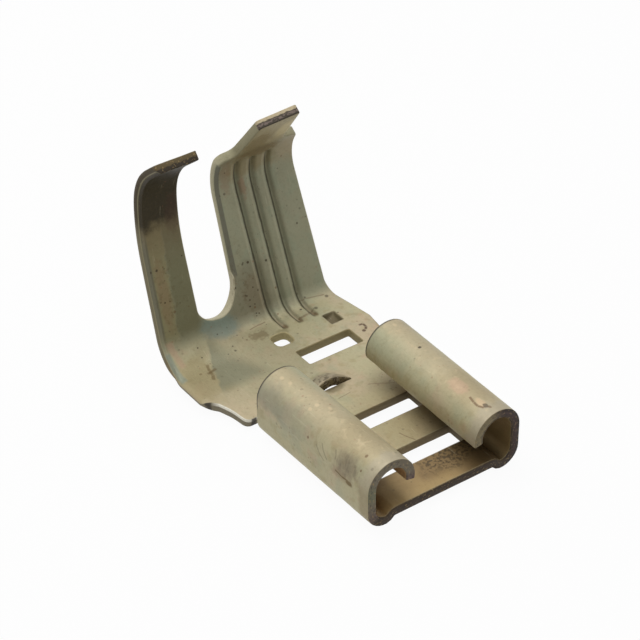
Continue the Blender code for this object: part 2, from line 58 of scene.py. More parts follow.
# Sheet and receptacle, as in the part's source
SHEET = 0.41
RECEPTACLE_LENGTH = 7.6
RECEPTACLE_WIDTH = 7.7
ROLL_HEIGHT = 3.1
ROLL_TOP_RADIUS = 1.16
ROLL_FOOT_RADIUS = 0.88
ROLL_PAST_HALF_TURN = math.radians(14)
ROLL_SPREAD_AT_REAR = 0.12
FLOOR_LIFT = 0.24
JOGGLE_RADIUS = 0.32
SLOT_LENGTH = 1.04
SLOT_LEFT_END = 2.25
SLOT_RIGHT_END = 2.45
FRONT_SLOT_FROM_MOUTH = 1.78
SLOT_PITCH = 2.84
STOP_HALF_WIDTH = 1.02
STOP_LENGTH = 1.15
STOP_RISE = 0.42
STOP_FROM_ROLLS = 0.25
LANCE_GAP = 0.03
NOTCH_LENGTH = 0.58
NOTCH_RADIUS = 0.28
NOTCH_ROOT_GAP = 0.1
NECK_CORNER_RADIUS = 0.35
NECK_BLEND_LENGTH = 1.6
FLOOR_LEFT_NECK = 4.05
FLOOR_LEFT_STEP = 4.52
FLOOR_LEFT = 4.98
FLOOR_LEFT_STEP_FROM_ROLLS = 2.05
FLOOR_LEFT_STEP_LENGTH = 0.58
FLOOR_RIGHT_NECK = 4.1
FLOOR_RIGHT = 4.52
FLOOR_RIGHT_CORNER_FROM_ROLLS = 3.5
FLOOR_CORNER_RADIUS = 0.3
TAIL_SLOT_FROM_ROLLS = 2.1
TAIL_SLOT_LENGTH = 1.05
TAIL_SLOT_WIDTH = 2.84
TAIL_CENTRE = 1.67
PILOT_FROM_ROLLS = 4.28
PILOT_LENGTH = 0.84
PILOT_WIDTH = 0.86
PILOT_SPACING = 2.76
PILOT_CORNER_RADIUS = 0.24
PIT_LENGTH = 0.78
PIT_WIDTH = 0.66
PIT_DEPTH_FAR_SIDE = 0.1
PIT_DEPTH_NEAR_REAR = 0.27
PIT_DEPTH_NEAR_FRONT = 0.72
WING_CENTRE = 1.785
WING_BASE_WIDTH = 4.59
WING_SHOULDER_CENTRE = 1.895
WING_SHOULDER_WIDTH = 4.03
RIGHT_SHOULDER_HIGHER = 0.3
WING_FOOT_SPREAD = 0.15
WING_FOOT_LENGTH = 1.2
WING_BEND_FROM_ROLLS = 5.52
WING_BEND_RADIUS = 1.05
WING_BEND_ANGLE = math.radians(67)
WING_STRAIGHT = 5.35
WING_CURL_RADIUS = 2.05
WING_CURL_ANGLE = math.radians(60)
SHOULDER_RADIUS = 0.45
FLAP_BASE_CENTRE = 1.86
FLAP_TIP_CENTRE = 1.94
FLAP_END_SLANT = 0.3
FLAP_LENGTH = 2.95
FLAP_BASE_WIDTH = 2.35
FLAP_TIP_WIDTH = 1.98
FLAP_CORNER_RADIUS = 0.15
FLAP_ROOT_RADIUS = 0.4
NARROW_BASE_WIDTH = 2.05
NARROW_WAIST_WIDTH = 1.87
NARROW_WAIST_BELOW_TIP = 1.3
NARROW_WAIST_RADIUS = 1.2
NARROW_TIP_WIDTH = 2.08
NARROW_BEND_FROM_ROLLS = 4.1
NARROW_BEND_RADIUS = 1.95
NARROW_BEND_ANGLE = math.radians(75)
NARROW_STRAIGHT = 3.55
NARROW_BOW_RADIUS = 8.6
NARROW_BOW_ANGLE = math.radians(19)
NARROW_CURL_RADIUS = 2.9
NARROW_CURL_ANGLE = math.radians(47)
NARROW_TIP_STRAIGHT = 0.95
NARROW_TIP_CORNER = 0.15
GAP_BOTTOM_FROM_ROLLS = 6.7
GAP_WIDE_SIDE_RADIUS = 1.85
GAP_NARROW_SIDE_RADIUS = 0.65
GROOVE_COUNT = 3
GROOVE_CENTRE = 1.75
GROOVE_PITCH = 0.81
GROOVE_START_FROM_ROLLS = 4.8
GROOVE_END_BELOW_SHOULDER = 0.45
BEVEL_WIDTH = 0.15
BEVEL_DEPTH = 0.24
BEVEL_RISE_ABOVE_GAP = 1.65
FLARE_WIDTH = 0.32
FLARE_RADIUS = 0.4
FLARE_START_FROM_ROLLS = 2.1
FLARE_RAMP = 0.45
FLARE_END_FROM_ROLLS = 4.3
FLARE_FADE = 1.2

# Finish of the pressed sheet, seen only close up
PRESSED_RADIUS = 0.06
ROUNDING_STEPS = 3
BURR_RADIUS = 0.025
BURR_INSET = BURR_RADIUS * 0.3
ROW_GAP = 0.005
HOLE_CORNER_RADIUS = 0.07
FINE_CORNER_RADIUS = 0.02
MOUTH_CORNER_RADIUS = 0.08
ROLL_REAR_CORNER_RADIUS = 0.12
WING_FOOT_RADIUS = 1.0
SHARPEST_MITRE = 0.6
GROOVE_HALF_WIDTH = 0.17
GROOVE_DEPTH = 0.13
GROOVE_FADE = 0.3
GROOVE_ROUNDNESS = 0.7
BEVEL_START_FADE = 0.4
BEVEL_END_FADE = 0.2
NARROW_BEVEL_FADE = 0.8
PIT_EDGE = 0.11
PIT_METAL_LEFT = 0.03
PIT_HOLE_REAR = 0.34
PIT_HOLE_FRONT = 0.06
PIT_HOLE_NEAR_SIDE = 0.05
PIT_HOLE_FAR_SIDE = 0.24
WAVE_HEIGHT = 0.008
WAVES_PER_MM = 0.9
RIPPLE_HEIGHT = WAVE_HEIGHT * 0.4
RIPPLES_PER_MM = 2.6
LEAST_FLARE = 0.001
SHARP_ANGLE = math.radians(50)
PROBE = 0.0005

# Spacing of the mesh's points, in millimetres, and the turn between its rows on a fold
CORNER_SPACING = 0.07
OUTLINE_SPACING = 0.14
FORM_SPACING = 0.12
CLOSE_SPACING = 0.08
PLAIN_SPACING = 0.16
FLAP_SPACING = 0.15
ROLL_SPACING = 0.2
ROLL_TURN = math.radians(5)
WING_TURN = math.radians(4)
RECEPTACLE_ROWS = 36
RECEPTACLE_REAR_MARGIN = 0.12
RECEPTACLE_FRONT_MARGIN = 0.15
CLOSE_ROWS_END = -4.5
PLAIN_ROWS_END = 4.7
GROOVE_ROWS = 9
PIT_ROWS = 16
BEVEL_ROWS = (0.1, BEVEL_WIDTH, BEVEL_WIDTH + 0.06)
ROWS_ABOVE_WING_BEVEL = 0.25
ROWS_BELOW_WING_BEVEL = 0.1
ROWS_FROM_NARROW_TIP = 0.1
ROWS_FROM_STOP_FRONT = 0.02
PAST_LAST_ROW = 0.01
FORM_FROM_OUTLINE = 0.035
NET_FROM_OUTLINE = 0.07
NET_FROM_FORM = 0.05


class SheetPath:
    """A line of straight runs and arcs that the middle of the sheet follows when it is folded."""

    def __init__(self, start, heading):
        self.position = Vector(start)
        self.heading = heading
        self.runs = []
        self.length = 0.0

    def add_line(self, length):
        self.add_run(length, 0.0)

    def add_arc(self, radius, angle):
        self.add_run(radius * abs(angle), angle)

    def add_run(self, length, angle):
        self.runs.append((self.length, length, angle, self.position.copy(), self.heading))
        self.position = self.along(self.runs[-1], length)
        self.heading += angle
        self.length += length

    @staticmethod
    def along(run, distance):
        """The place at a distance along one run. Well past its ends the line goes straight on."""
        _, length, angle, position, heading = run
        if not angle or distance < 0.0 or distance > length + PROBE * 4:
            straight = distance
            if distance > length:
                position = SheetPath.along(run, length)
                heading += angle
                straight = distance - length
            return position + straight * Vector((math.cos(heading), math.sin(heading)))
        turn = angle * distance / length
        radius = length / angle
        step = Vector((math.sin(heading + turn) - math.sin(heading),
                       math.cos(heading) - math.cos(heading + turn)))
        return position + radius * step

    def point(self, distance):
        chosen = self.runs[0]
        for run in self.runs:
            if distance >= run[0]:
                chosen = run
        return self.along(chosen, distance - chosen[0])

    def stations(self, arc_step, straight_step):
        """Distances at which rows of points are laid, close together on the arcs."""
        marks = [0.0]
        for start_length, length, angle, *_ in self.runs:
            pieces = max(1, math.ceil(abs(angle) / arc_step), math.ceil(length / straight_step))
            marks += [start_length + length * piece / pieces for piece in range(1, pieces + 1)]
        return marks


def smooth_step(value, low, high):
    share = min(1.0, max(0.0, (value - low) / (high - low)))
    return share * share * (3.0 - 2.0 * share)


def folded_path(*runs):
    """A path from the floor's middle. A pair is an arc's radius and angle, a number a straight run."""
    path = SheetPath((0.0, FLOOR_LIFT + SHEET / 2), 0.0)
    for run in runs:
        if isinstance(run, tuple):
            path.add_arc(*run)
        else:
            path.add_line(run)
    return path


JOGGLE_ANGLE = math.acos(1.0 - FLOOR_LIFT / (2.0 * JOGGLE_RADIUS))
JOGGLE_RUN = 2.0 * JOGGLE_RADIUS * math.sin(JOGGLE_ANGLE)
RECEPTACLE_FLAT = RECEPTACLE_WIDTH / 2 - ROLL_FOOT_RADIUS - JOGGLE_RUN
TO_NECK = (RECEPTACLE_FLAT, (JOGGLE_RADIUS, -JOGGLE_ANGLE), (JOGGLE_RADIUS, JOGGLE_ANGLE))
NECK = folded_path(*TO_NECK)
RECEPTACLE = folded_path(*TO_NECK, (ROLL_FOOT_RADIUS - SHEET / 2, math.pi / 2),
                         ROLL_HEIGHT - ROLL_FOOT_RADIUS - ROLL_TOP_RADIUS,
                         (ROLL_TOP_RADIUS - SHEET / 2, math.pi + ROLL_PAST_HALF_TURN))
WING = folded_path(WING_BEND_FROM_ROLLS, (WING_BEND_RADIUS, WING_BEND_ANGLE), WING_STRAIGHT,
                   (WING_CURL_RADIUS, WING_CURL_ANGLE))
NARROW = folded_path(NARROW_BEND_FROM_ROLLS, (NARROW_BEND_RADIUS, NARROW_BEND_ANGLE), NARROW_STRAIGHT,
                     (NARROW_BOW_RADIUS, NARROW_BOW_ANGLE), (NARROW_CURL_RADIUS, NARROW_CURL_ANGLE),
                     NARROW_TIP_STRAIGHT)
ROLL_EDGE = RECEPTACLE.length
NOTCH_ROOT = NECK.length - NOTCH_ROOT_GAP
WING_LEFT = WING_CENTRE - WING_BASE_WIDTH / 2
NARROW_RIGHT = -FLOOR_LEFT + NARROW_BASE_WIDTH
SHOULDER = WING.length
STOP_FRONT = -STOP_FROM_ROLLS
TIP = SHOULDER + FLAP_LENGTH
GROOVE_LINES = [GROOVE_CENTRE + (number - (GROOVE_COUNT - 1) / 2) * GROOVE_PITCH
                for number in range(GROOVE_COUNT)]
GROOVE_LOW = -(SHOULDER - GROOVE_END_BELOW_SHOULDER)
GROOVE_HIGH = -GROOVE_START_FROM_ROLLS
WING_BEVEL_START = -(GAP_BOTTOM_FROM_ROLLS + BEVEL_RISE_ABOVE_GAP)
WING_BEVEL_END = -(SHOULDER - SHOULDER_RADIUS)
PIT_REAR = -PILOT_FROM_ROLLS - PIT_LENGTH / 2
PIT_FRONT = PIT_REAR + PIT_LENGTH
PIT_LEFT = TAIL_CENTRE + PILOT_SPACING / 2 - PIT_WIDTH / 2
PIT_RIGHT = PIT_LEFT + PIT_WIDTH


def wing_edge(s, side):
    share = (-s - WING_BEND_FROM_ROLLS) / (SHOULDER - WING_BEND_FROM_ROLLS)
    base = WING_CENTRE + side * WING_BASE_WIDTH / 2
    shoulder = WING_SHOULDER_CENTRE + side * WING_SHOULDER_WIDTH / 2
    return base + (shoulder - base) * min(1.0, max(0.0, share))


def blank_corners():
    """The blank's outer corners, each with its radius, from the left end of the mouth round."""
    left_step_end = FLOOR_LEFT_STEP_FROM_ROLLS + FLOOR_LEFT_STEP_LENGTH
    wing_foot_end = -WING_BEND_FROM_ROLLS - WING_FOOT_LENGTH
    wing_foot = WING_CENTRE + WING_BASE_WIDTH / 2 + WING_FOOT_SPREAD
    right_shoulder = -SHOULDER - RIGHT_SHOULDER_HIGHER
    gap_bottom = -GAP_BOTTOM_FROM_ROLLS
    return [
        (RECEPTACLE_LENGTH, -ROLL_EDGE, MOUTH_CORNER_RADIUS),
        (RECEPTACLE_LENGTH, ROLL_EDGE, MOUTH_CORNER_RADIUS),
        (0.0, ROLL_EDGE, ROLL_REAR_CORNER_RADIUS),
        (0.0, NOTCH_ROOT, NOTCH_RADIUS),
        (-NOTCH_LENGTH, NOTCH_ROOT, NOTCH_RADIUS),
        (-NOTCH_LENGTH, FLOOR_RIGHT_NECK, NECK_CORNER_RADIUS),
        (-FLOOR_RIGHT_CORNER_FROM_ROLLS, FLOOR_RIGHT, FLOOR_CORNER_RADIUS),
        (-WING_BEND_FROM_ROLLS, wing_foot, WING_FOOT_RADIUS),
        (wing_foot_end, wing_edge(wing_foot_end, 1), WING_FOOT_RADIUS),
        (right_shoulder, wing_edge(-SHOULDER, 1), SHOULDER_RADIUS),
        (right_shoulder, FLAP_BASE_CENTRE + FLAP_BASE_WIDTH / 2, FLAP_ROOT_RADIUS),
        (-TIP, FLAP_TIP_CENTRE + FLAP_TIP_WIDTH / 2, FLAP_CORNER_RADIUS),
        (FLAP_END_SLANT - TIP, FLAP_TIP_CENTRE - FLAP_TIP_WIDTH / 2, FLAP_CORNER_RADIUS),
        (-SHOULDER, FLAP_BASE_CENTRE - FLAP_BASE_WIDTH / 2, FLAP_ROOT_RADIUS),
        (-SHOULDER, wing_edge(-SHOULDER, -1), SHOULDER_RADIUS),
        (gap_bottom, WING_LEFT, GAP_WIDE_SIDE_RADIUS),
        (gap_bottom, NARROW_RIGHT, GAP_NARROW_SIDE_RADIUS),
        (NARROW_WAIST_BELOW_TIP - NARROW.length, NARROW_WAIST_WIDTH - FLOOR_LEFT, NARROW_WAIST_RADIUS),
        (-NARROW.length, -FLOOR_LEFT + NARROW_TIP_WIDTH, NARROW_TIP_CORNER),
        (-NARROW.length, -FLOOR_LEFT, NARROW_TIP_CORNER),
        (-left_step_end, -FLOOR_LEFT, FLOOR_CORNER_RADIUS),
        (-FLOOR_LEFT_STEP_FROM_ROLLS, -FLOOR_LEFT_STEP, FLOOR_CORNER_RADIUS),
        (-NOTCH_LENGTH, -FLOOR_LEFT_NECK, NECK_CORNER_RADIUS),
        (-NOTCH_LENGTH, -NOTCH_ROOT, NOTCH_RADIUS),
        (0.0, -NOTCH_ROOT, NOTCH_RADIUS),
        (0.0, -ROLL_EDGE, ROLL_REAR_CORNER_RADIUS),
    ]


def rounded(corners):
    """Replace each corner by an arc of its own radius."""
    points = []
    for index, (s, v, radius) in enumerate(corners):
        corner = Vector((s, v))
        before = (Vector(corners[index - 1][:2]) - corner).normalized()
        after = (Vector(corners[(index + 1) % len(corners)][:2]) - corner).normalized()
        half_angle = before.angle(after) / 2
        setback = radius / math.tan(half_angle)
        centre = corner + (before + after).normalized() * radius / math.sin(half_angle)
        first = corner + before * setback - centre
        last = corner + after * setback - centre
        turn = first.angle_signed(last)
        steps = max(3, math.ceil(abs(turn) * radius / CORNER_SPACING))
        for step in range(steps + 1):
            points.append(centre + Matrix.Rotation(-turn * step / steps, 2) @ first)
    return points


def evenly(points, longest):
    """Split the sides of a closed outline that are longer than the given length."""
    result = []
    for index, point in enumerate(points):
        following = points[(index + 1) % len(points)]
        pieces = max(1, math.ceil((following - point).length / longest))
        result += [point.lerp(following, piece / pieces) for piece in range(pieces)]
    return result


def rectangle(s_low, s_high, v_low, v_high, radius=HOLE_CORNER_RADIUS):
    """A hole's outline, clockwise, so that the metal lies on its left as on the outer outline's."""
    return [(s_low, v_low, radius), (s_low, v_high, radius),
            (s_high, v_high, radius), (s_high, v_low, radius)]


def all_loops():
    """The blank's outline and its holes, each with the metal on its left."""
    outlines = [blank_corners()]
    front = RECEPTACLE_LENGTH - FRONT_SLOT_FROM_MOUTH
    for slot_front in (front, front - SLOT_PITCH):
        outlines.append(rectangle(slot_front - SLOT_LENGTH, slot_front, -SLOT_LEFT_END, SLOT_RIGHT_END))
    tail_front = -TAIL_SLOT_FROM_ROLLS
    outlines.append(rectangle(tail_front - TAIL_SLOT_LENGTH, tail_front,
                              TAIL_CENTRE - TAIL_SLOT_WIDTH / 2, TAIL_CENTRE + TAIL_SLOT_WIDTH / 2))
    pilot_v = TAIL_CENTRE - PILOT_SPACING / 2
    outlines.append(rectangle(-PILOT_FROM_ROLLS - PILOT_LENGTH / 2, -PILOT_FROM_ROLLS + PILOT_LENGTH / 2,
                              pilot_v - PILOT_WIDTH / 2, pilot_v + PILOT_WIDTH / 2, PILOT_CORNER_RADIUS))
    outlines.append(rectangle(STOP_FRONT, STOP_FRONT + LANCE_GAP, -STOP_HALF_WIDTH, STOP_HALF_WIDTH,
                              FINE_CORNER_RADIUS))
    pit_hole = ((PIT_HOLE_REAR, PIT_HOLE_NEAR_SIDE), (PIT_HOLE_FRONT, PIT_HOLE_FAR_SIDE),
                (PIT_HOLE_FRONT, PIT_HOLE_NEAR_SIDE))
    outlines.append([(PIT_FRONT - s, PIT_LEFT + v, FINE_CORNER_RADIUS) for s, v in pit_hole])
    return [evenly(rounded(corners), OUTLINE_SPACING) for corners in outlines]


def offset_loop(points, distance):
    """The same closed outline moved into the metal by the given distance."""
    moved = []
    for index, point in enumerate(points):
        arriving = (point - points[index - 1]).normalized()
        leaving = (points[(index + 1) % len(points)] - point).normalized()
        left_in = Vector((-arriving.y, arriving.x))
        left_out = Vector((-leaving.y, leaving.x))
        middle = (left_in + left_out).normalized()
        moved.append(point + middle * distance / max(SHARPEST_MITRE, middle.dot(left_in)))
    return moved


def top_drop(s, v):
    """How far the upper face lies below the plain sheet: grooves, bevels and the pit."""
    drop = 0.0
    if GROOVE_LOW < s < GROOVE_HIGH:
        ends = smooth_step(s, GROOVE_LOW, GROOVE_LOW + GROOVE_FADE)
        ends *= 1.0 - smooth_step(s, GROOVE_HIGH - GROOVE_FADE, GROOVE_HIGH)
        for line in GROOVE_LINES:
            away = abs(v - line) / GROOVE_HALF_WIDTH
            if away < 1.0:
                drop = GROOVE_DEPTH * ends * (0.5 + 0.5 * math.cos(math.pi * away)) ** GROOVE_ROUNDNESS
    inward = v - wing_edge(s, -1)
    beside = -PRESSED_RADIUS < inward < BEVEL_WIDTH
    if WING_BEVEL_END - BEVEL_END_FADE < s < WING_BEVEL_START and beside:
        share = smooth_step(-s, -WING_BEVEL_START, -WING_BEVEL_START + BEVEL_START_FADE)
        share *= 1.0 - smooth_step(-s, -WING_BEVEL_END, -WING_BEVEL_END + BEVEL_END_FADE)
        drop = BEVEL_DEPTH * share * (1.0 - max(0.0, inward) / BEVEL_WIDTH)
    inward = v + FLOOR_LEFT
    if s < -FLARE_END_FROM_ROLLS and inward < BEVEL_WIDTH:
        share = smooth_step(-s, FLARE_END_FROM_ROLLS, FLARE_END_FROM_ROLLS + NARROW_BEVEL_FADE)
        drop = BEVEL_DEPTH * share * (1.0 - max(0.0, inward) / BEVEL_WIDTH)
    inside = min(s - PIT_REAR, PIT_FRONT - s, v - PIT_LEFT, PIT_RIGHT - v)
    if inside > 0.0:
        along = (s - PIT_REAR) / PIT_LENGTH
        across = (v - PIT_LEFT) / PIT_WIDTH
        near = PIT_DEPTH_NEAR_REAR * (1.0 - along) + PIT_DEPTH_NEAR_FRONT * along
        depth = near * (1.0 - across) + PIT_DEPTH_FAR_SIDE * across
        drop = min(depth, SHEET - PIT_METAL_LEFT) * smooth_step(inside, 0.0, PIT_EDGE)
    return drop


def row_points(s_values, v_values):
    return np.array(np.meshgrid(s_values, v_values)).reshape(2, -1).T


def feature_points():
    """Rows of points that carry the grooves, bevels and the pit."""
    rows = []
    along = np.arange(GROOVE_LOW, GROOVE_HIGH + PAST_LAST_ROW, FORM_SPACING)
    for line in GROOVE_LINES:
        rows.append(row_points(along, line + GROOVE_HALF_WIDTH * np.linspace(-1.0, 1.0, GROOVE_ROWS)))
    edge = np.arange(WING_BEVEL_END - ROWS_ABOVE_WING_BEVEL, WING_BEVEL_START + ROWS_BELOW_WING_BEVEL,
                     FORM_SPACING)
    for inward in BEVEL_ROWS:
        rows.append(np.array([(s, wing_edge(s, -1) + inward) for s in edge]))
    edge = np.arange(-NARROW.length + ROWS_FROM_NARROW_TIP, -FLARE_END_FROM_ROLLS, FORM_SPACING)
    rows.append(row_points(edge, [-FLOOR_LEFT + inward for inward in BEVEL_ROWS]))
    rows.append(row_points(np.linspace(PIT_REAR, PIT_FRONT, PIT_ROWS),
                           np.linspace(PIT_LEFT, PIT_RIGHT, PIT_ROWS)))
    return np.unique(np.round(np.vstack(rows), 5), axis=0)


def grid_points():
    """An even net of points over the blank, close together across each fold."""
    roll_rows = RECEPTACLE.stations(ROLL_TURN, ROLL_SPACING)
    v_rows = sorted({round(side * row, 5) for row in roll_rows for side in (-1, 1)})
    front = row_points(np.linspace(RECEPTACLE_REAR_MARGIN, RECEPTACLE_LENGTH - RECEPTACLE_FRONT_MARGIN,
                                   RECEPTACLE_ROWS), v_rows)
    floor_v = np.concatenate([np.arange(-FLOOR_LEFT + CLOSE_SPACING, CLOSE_ROWS_END, CLOSE_SPACING),
                              np.arange(CLOSE_ROWS_END, PLAIN_ROWS_END, PLAIN_SPACING)])
    wide = [-mark for mark in WING.stations(WING_TURN, PLAIN_SPACING)]
    wide += list(-np.arange(SHOULDER + FLAP_SPACING, TIP, FLAP_SPACING))
    narrow = [-mark for mark in NARROW.stations(WING_TURN, PLAIN_SPACING)]
    stop = row_points(np.arange(STOP_FRONT - STOP_LENGTH, STOP_FRONT - ROWS_FROM_STOP_FRONT, CLOSE_SPACING),
                      np.arange(-STOP_HALF_WIDTH, STOP_HALF_WIDTH, CLOSE_SPACING))
    return np.vstack([front, row_points(wide, floor_v[floor_v >= WING_LEFT]),
                      row_points(narrow, floor_v[floor_v < WING_LEFT]), stop])


def inside_loops(points, loops):
    """Which points lie in the metal, by counting outline crossings."""
    inside = np.zeros(len(points), bool)
    for loop in loops:
        ring = np.array([tuple(point) for point in loop])
        ahead = np.roll(ring, -1, axis=0)
        for (s0, v0), (s1, v1) in zip(ring, ahead):
            crosses = (v0 > points[:, 1]) != (v1 > points[:, 1])
            if v1 != v0:
                where = s0 + (points[:, 1] - v0) * (s1 - s0) / (v1 - v0)
                inside ^= crosses & (points[:, 0] < where)
    return inside


def far_from(points, others, distance):
    """Drop the points that crowd another set, worked out for one batch of points at a time."""
    keep = np.ones(len(points), bool)
    batch = 2000
    for start in range(0, len(points), batch):
        part = points[start:start + batch]
        gap = ((part[:, None, :] - others[None, :, :]) ** 2).sum(axis=2).min(axis=1)
        keep[start:start + batch] = gap > distance ** 2
    return points[keep]


def fill(loops):
    """Triangulate the metal between closed outlines, with the net of points inside."""
    outline = np.array([tuple(point) for loop in loops for point in loop])
    features = feature_points()
    features = features[inside_loops(features, loops)]
    features = far_from(features, outline, FORM_FROM_OUTLINE)
    grid = grid_points()
    grid = grid[inside_loops(grid, loops)]
    grid = far_from(grid, outline, NET_FROM_OUTLINE)
    grid = far_from(grid, features, NET_FROM_FORM)
    points = [Vector(point) for point in np.vstack([outline, features, grid])]
    edges = []
    start = 0
    for loop in loops:
        count = len(loop)
        edges += [(start + index, start + (index + 1) % count) for index in range(count)]
        start += count
    made = geometry.delaunay_2d_cdt(points, edges, [], 0, 1e-6)
    verts, faces, sources = made[0], made[2], made[3]
    place = [-1] * len(points)
    for index, source in enumerate(sources):
        for original in source:
            place[original] = index
    flat = np.array([tuple(vert) for vert in verts])
    triangles = np.array(faces)
    middle = flat[triangles].mean(axis=1)
    return flat, triangles[inside_loops(middle, loops)], place[:len(outline)]


def rim_profile():
    """Inset, height and nearness to the upper face of each row of points round a sheared edge."""
    half = SHEET / 2
    rows = []
    for step in range(1, ROUNDING_STEPS + 1):
        turn = math.pi / 2 * step / ROUNDING_STEPS
        inset = PRESSED_RADIUS * (1 - math.sin(turn))
        rows.append((inset, half - PRESSED_RADIUS * (1 - math.cos(turn)), True))
    return rows + [(0.0, 0.0, False), (0.0, -half + BURR_RADIUS, False),
                   (BURR_INSET, -half + BURR_INSET, False)]


def region(s, v):
    """The place in MATERIALS of a face of the sheet."""
    receptacle = s > RECEPTACLE_PAINT_FROM or (s > 0.0 and abs(v) > ROLL_PAINT_PAST_MIDDLE)
    return MATERIALS.index("receptacle_plating" if receptacle else "wing_plating")


def blank_mesh():
    """The flat blank as points (s, v, height, rim), faces and each face's place in MATERIALS."""
    loops = all_loops()
    half = SHEET / 2
    points = []
    faces = []
    regions = []

    def add_surface(inset, upper):
        moved = [offset_loop(loop, inset) for loop in loops]
        flat, triangles, outline = fill(moved)
        start = len(points)
        for s, v in flat:
            height = half - top_drop(s, v) if upper else -half
            points.append((float(s), float(v), height, 0.0))
        for a, b, c in triangles:
            order = (a, b, c) if upper else (c, b, a)
            faces.append(tuple(start + index for index in order))
            regions.append(region(*flat[[a, b, c]].mean(axis=0)))
        return [start + index for index in outline]

    top_ring = add_surface(PRESSED_RADIUS, True)
    bottom_ring = add_surface(BURR_RADIUS, False)
    start = 0
    for loop in loops:
        count = len(loop)
        rings = [top_ring[start:start + count]]
        for inset, height, near_top in rim_profile():
            ring = []
            for point in offset_loop(loop, inset):
                drop = top_drop(point.x, point.y)
                if near_top:
                    level = height - drop
                else:
                    level = min(height, half - PRESSED_RADIUS - drop - ROW_GAP)
                level = max(level, -half + BURR_INSET)
                ring.append(len(points))
                points.append((point.x, point.y, level, 1.0))
            rings.append(ring)
        rings.append(bottom_ring[start:start + count])
        for upper, lower in zip(rings, rings[1:]):
            for index in range(count):
                ahead = (index + 1) % count
                faces.append((upper[index], lower[index], lower[ahead], upper[ahead]))
                regions.append(MATERIALS.index("sheared_edge"))
        start += count
    return points, faces, regions


def stop_height(s, v):
    if s > STOP_FRONT + LANCE_GAP / 2 or s < STOP_FRONT - STOP_LENGTH:
        return 0.0
    across = min(1.0, abs(v) / STOP_HALF_WIDTH)
    along = min(1.0, max(0.0, (STOP_FRONT - s) / STOP_LENGTH))
    return STOP_RISE * (1.0 - across * across) ** 1.5 * (1.0 - along * along * (3.0 - 2.0 * along))


def flare_share(s):
    start = smooth_step(-s, FLARE_START_FROM_ROLLS, FLARE_START_FROM_ROLLS + FLARE_RAMP)
    end = smooth_step(-s, FLARE_END_FROM_ROLLS, FLARE_END_FROM_ROLLS + FLARE_FADE)
    return start * (1.0 - end)


def middle_point(s, v, in_receptacle):
    """Where a point of the sheet's middle face comes to lie when the blank is folded."""
    outward = ROLL_SPREAD_AT_REAR * min(1.0, abs(v) / RECEPTACLE_FLAT)
    if in_receptacle:
        across, height = RECEPTACLE.point(abs(v))
        across += outward * (1.0 - s / RECEPTACLE_LENGTH)
        return Vector((s, math.copysign(across, v), height))
    wing_share = smooth_step(v, NARROW_RIGHT, WING_LEFT)
    side = NARROW.point(-s).lerp(WING.point(-s), wing_share)
    across, height = NECK.point(abs(v))
    neck_share = smooth_step(s, -NECK_BLEND_LENGTH, 0.0)
    sunk = (FLOOR_LIFT + SHEET / 2 - height) * neck_share
    shift = (across + outward - abs(v)) * neck_share
    point = Vector((-side.x, v + math.copysign(shift, v), side.y + stop_height(s, v) - sunk))
    past_flare_line = -FLOOR_LEFT + FLARE_WIDTH - v
    share = flare_share(s)
    if past_flare_line > 0.0 and share > LEAST_FLARE:
        radius = FLARE_RADIUS / share
        turn = past_flare_line / radius
        point.y = v + past_flare_line - radius * math.sin(turn)
        ahead = NARROW.point(-s + PROBE) - NARROW.point(-s)
        outside = Vector((-ahead.y, 0.0, -ahead.x)).normalized()
        point += outside * radius * (1.0 - math.cos(turn))
    return point


def folded(s, v, height):
    """Carry one point of the flat blank along the folds, with a little waviness."""
    in_receptacle = s >= -PROBE
    step = PROBE if in_receptacle else -PROBE
    middle = middle_point(s, v, in_receptacle)
    along = (middle_point(s + step, v, in_receptacle) - middle) / step
    beside = PROBE if v < 0.0 else -PROBE
    across = (middle_point(s, v + beside, in_receptacle) - middle) / beside
    wave = WAVE_HEIGHT * noise.noise((s * WAVES_PER_MM, v * WAVES_PER_MM, 3.0))
    wave += RIPPLE_HEIGHT * noise.noise((s * RIPPLES_PER_MM, v * RIPPLES_PER_MM, 8.0))
    return middle + along.cross(across).normalized() * (height + wave)


def make_sheet():
    """The folded sheet, centred on the solid and standing on its lowest point, with its materials."""
    points, faces, regions = blank_mesh()
    places = [folded(s, v, height) for s, v, height, rim in points]
    low, high = [Vector([pick(place[axis] for place in places) for axis in range(3)])
                 for pick in (min, max)]
    low_cad, high_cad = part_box("terminal")
    centre = (low + high) / 2
    shift = Vector(((low_cad.x + high_cad.x) / 2, (low_cad.y + high_cad.y) / 2, 0.0)) / MM
    shift -= Vector((centre.x, centre.y, low.z))
    mesh = bpy.data.meshes.new("terminal_sheet")
    mesh.from_pydata([(place + shift) * MM for place in places], [], faces)
    blank = mesh.attributes.new("blank", "FLOAT_VECTOR", "POINT")
    blank.data.foreach_set("vector", [value for s, v, height, rim in points
                                      for value in (s, v, height / SHEET * 2)])
    edge = mesh.attributes.new("rim", "FLOAT", "POINT")
    edge.data.foreach_set("value", [rim for s, v, height, rim in points])
    for name in MATERIALS:
        mesh.materials.append(aged_tin_plate(name))
    mesh.polygons.foreach_set("material_index", regions)
    mesh.shade_smooth()
    mesh.set_sharp_from_angle(angle=SHARP_ANGLE)
    mesh.validate()
    sheet = bpy.data.objects.new("terminal_sheet", mesh)
    bpy.context.scene.collection.objects.link(sheet)
    return sheet


def linear_colour(red, green, blue):
    """Screen values from 0 to 255 as the linear colour that a shader takes."""
    def linear(value):
        share = value / 255.0
        return share / 12.92 if share <= 0.04045 else ((share + 0.055) / 1.055) ** 2.4
    return linear(red), linear(green), linear(blue), 1.0


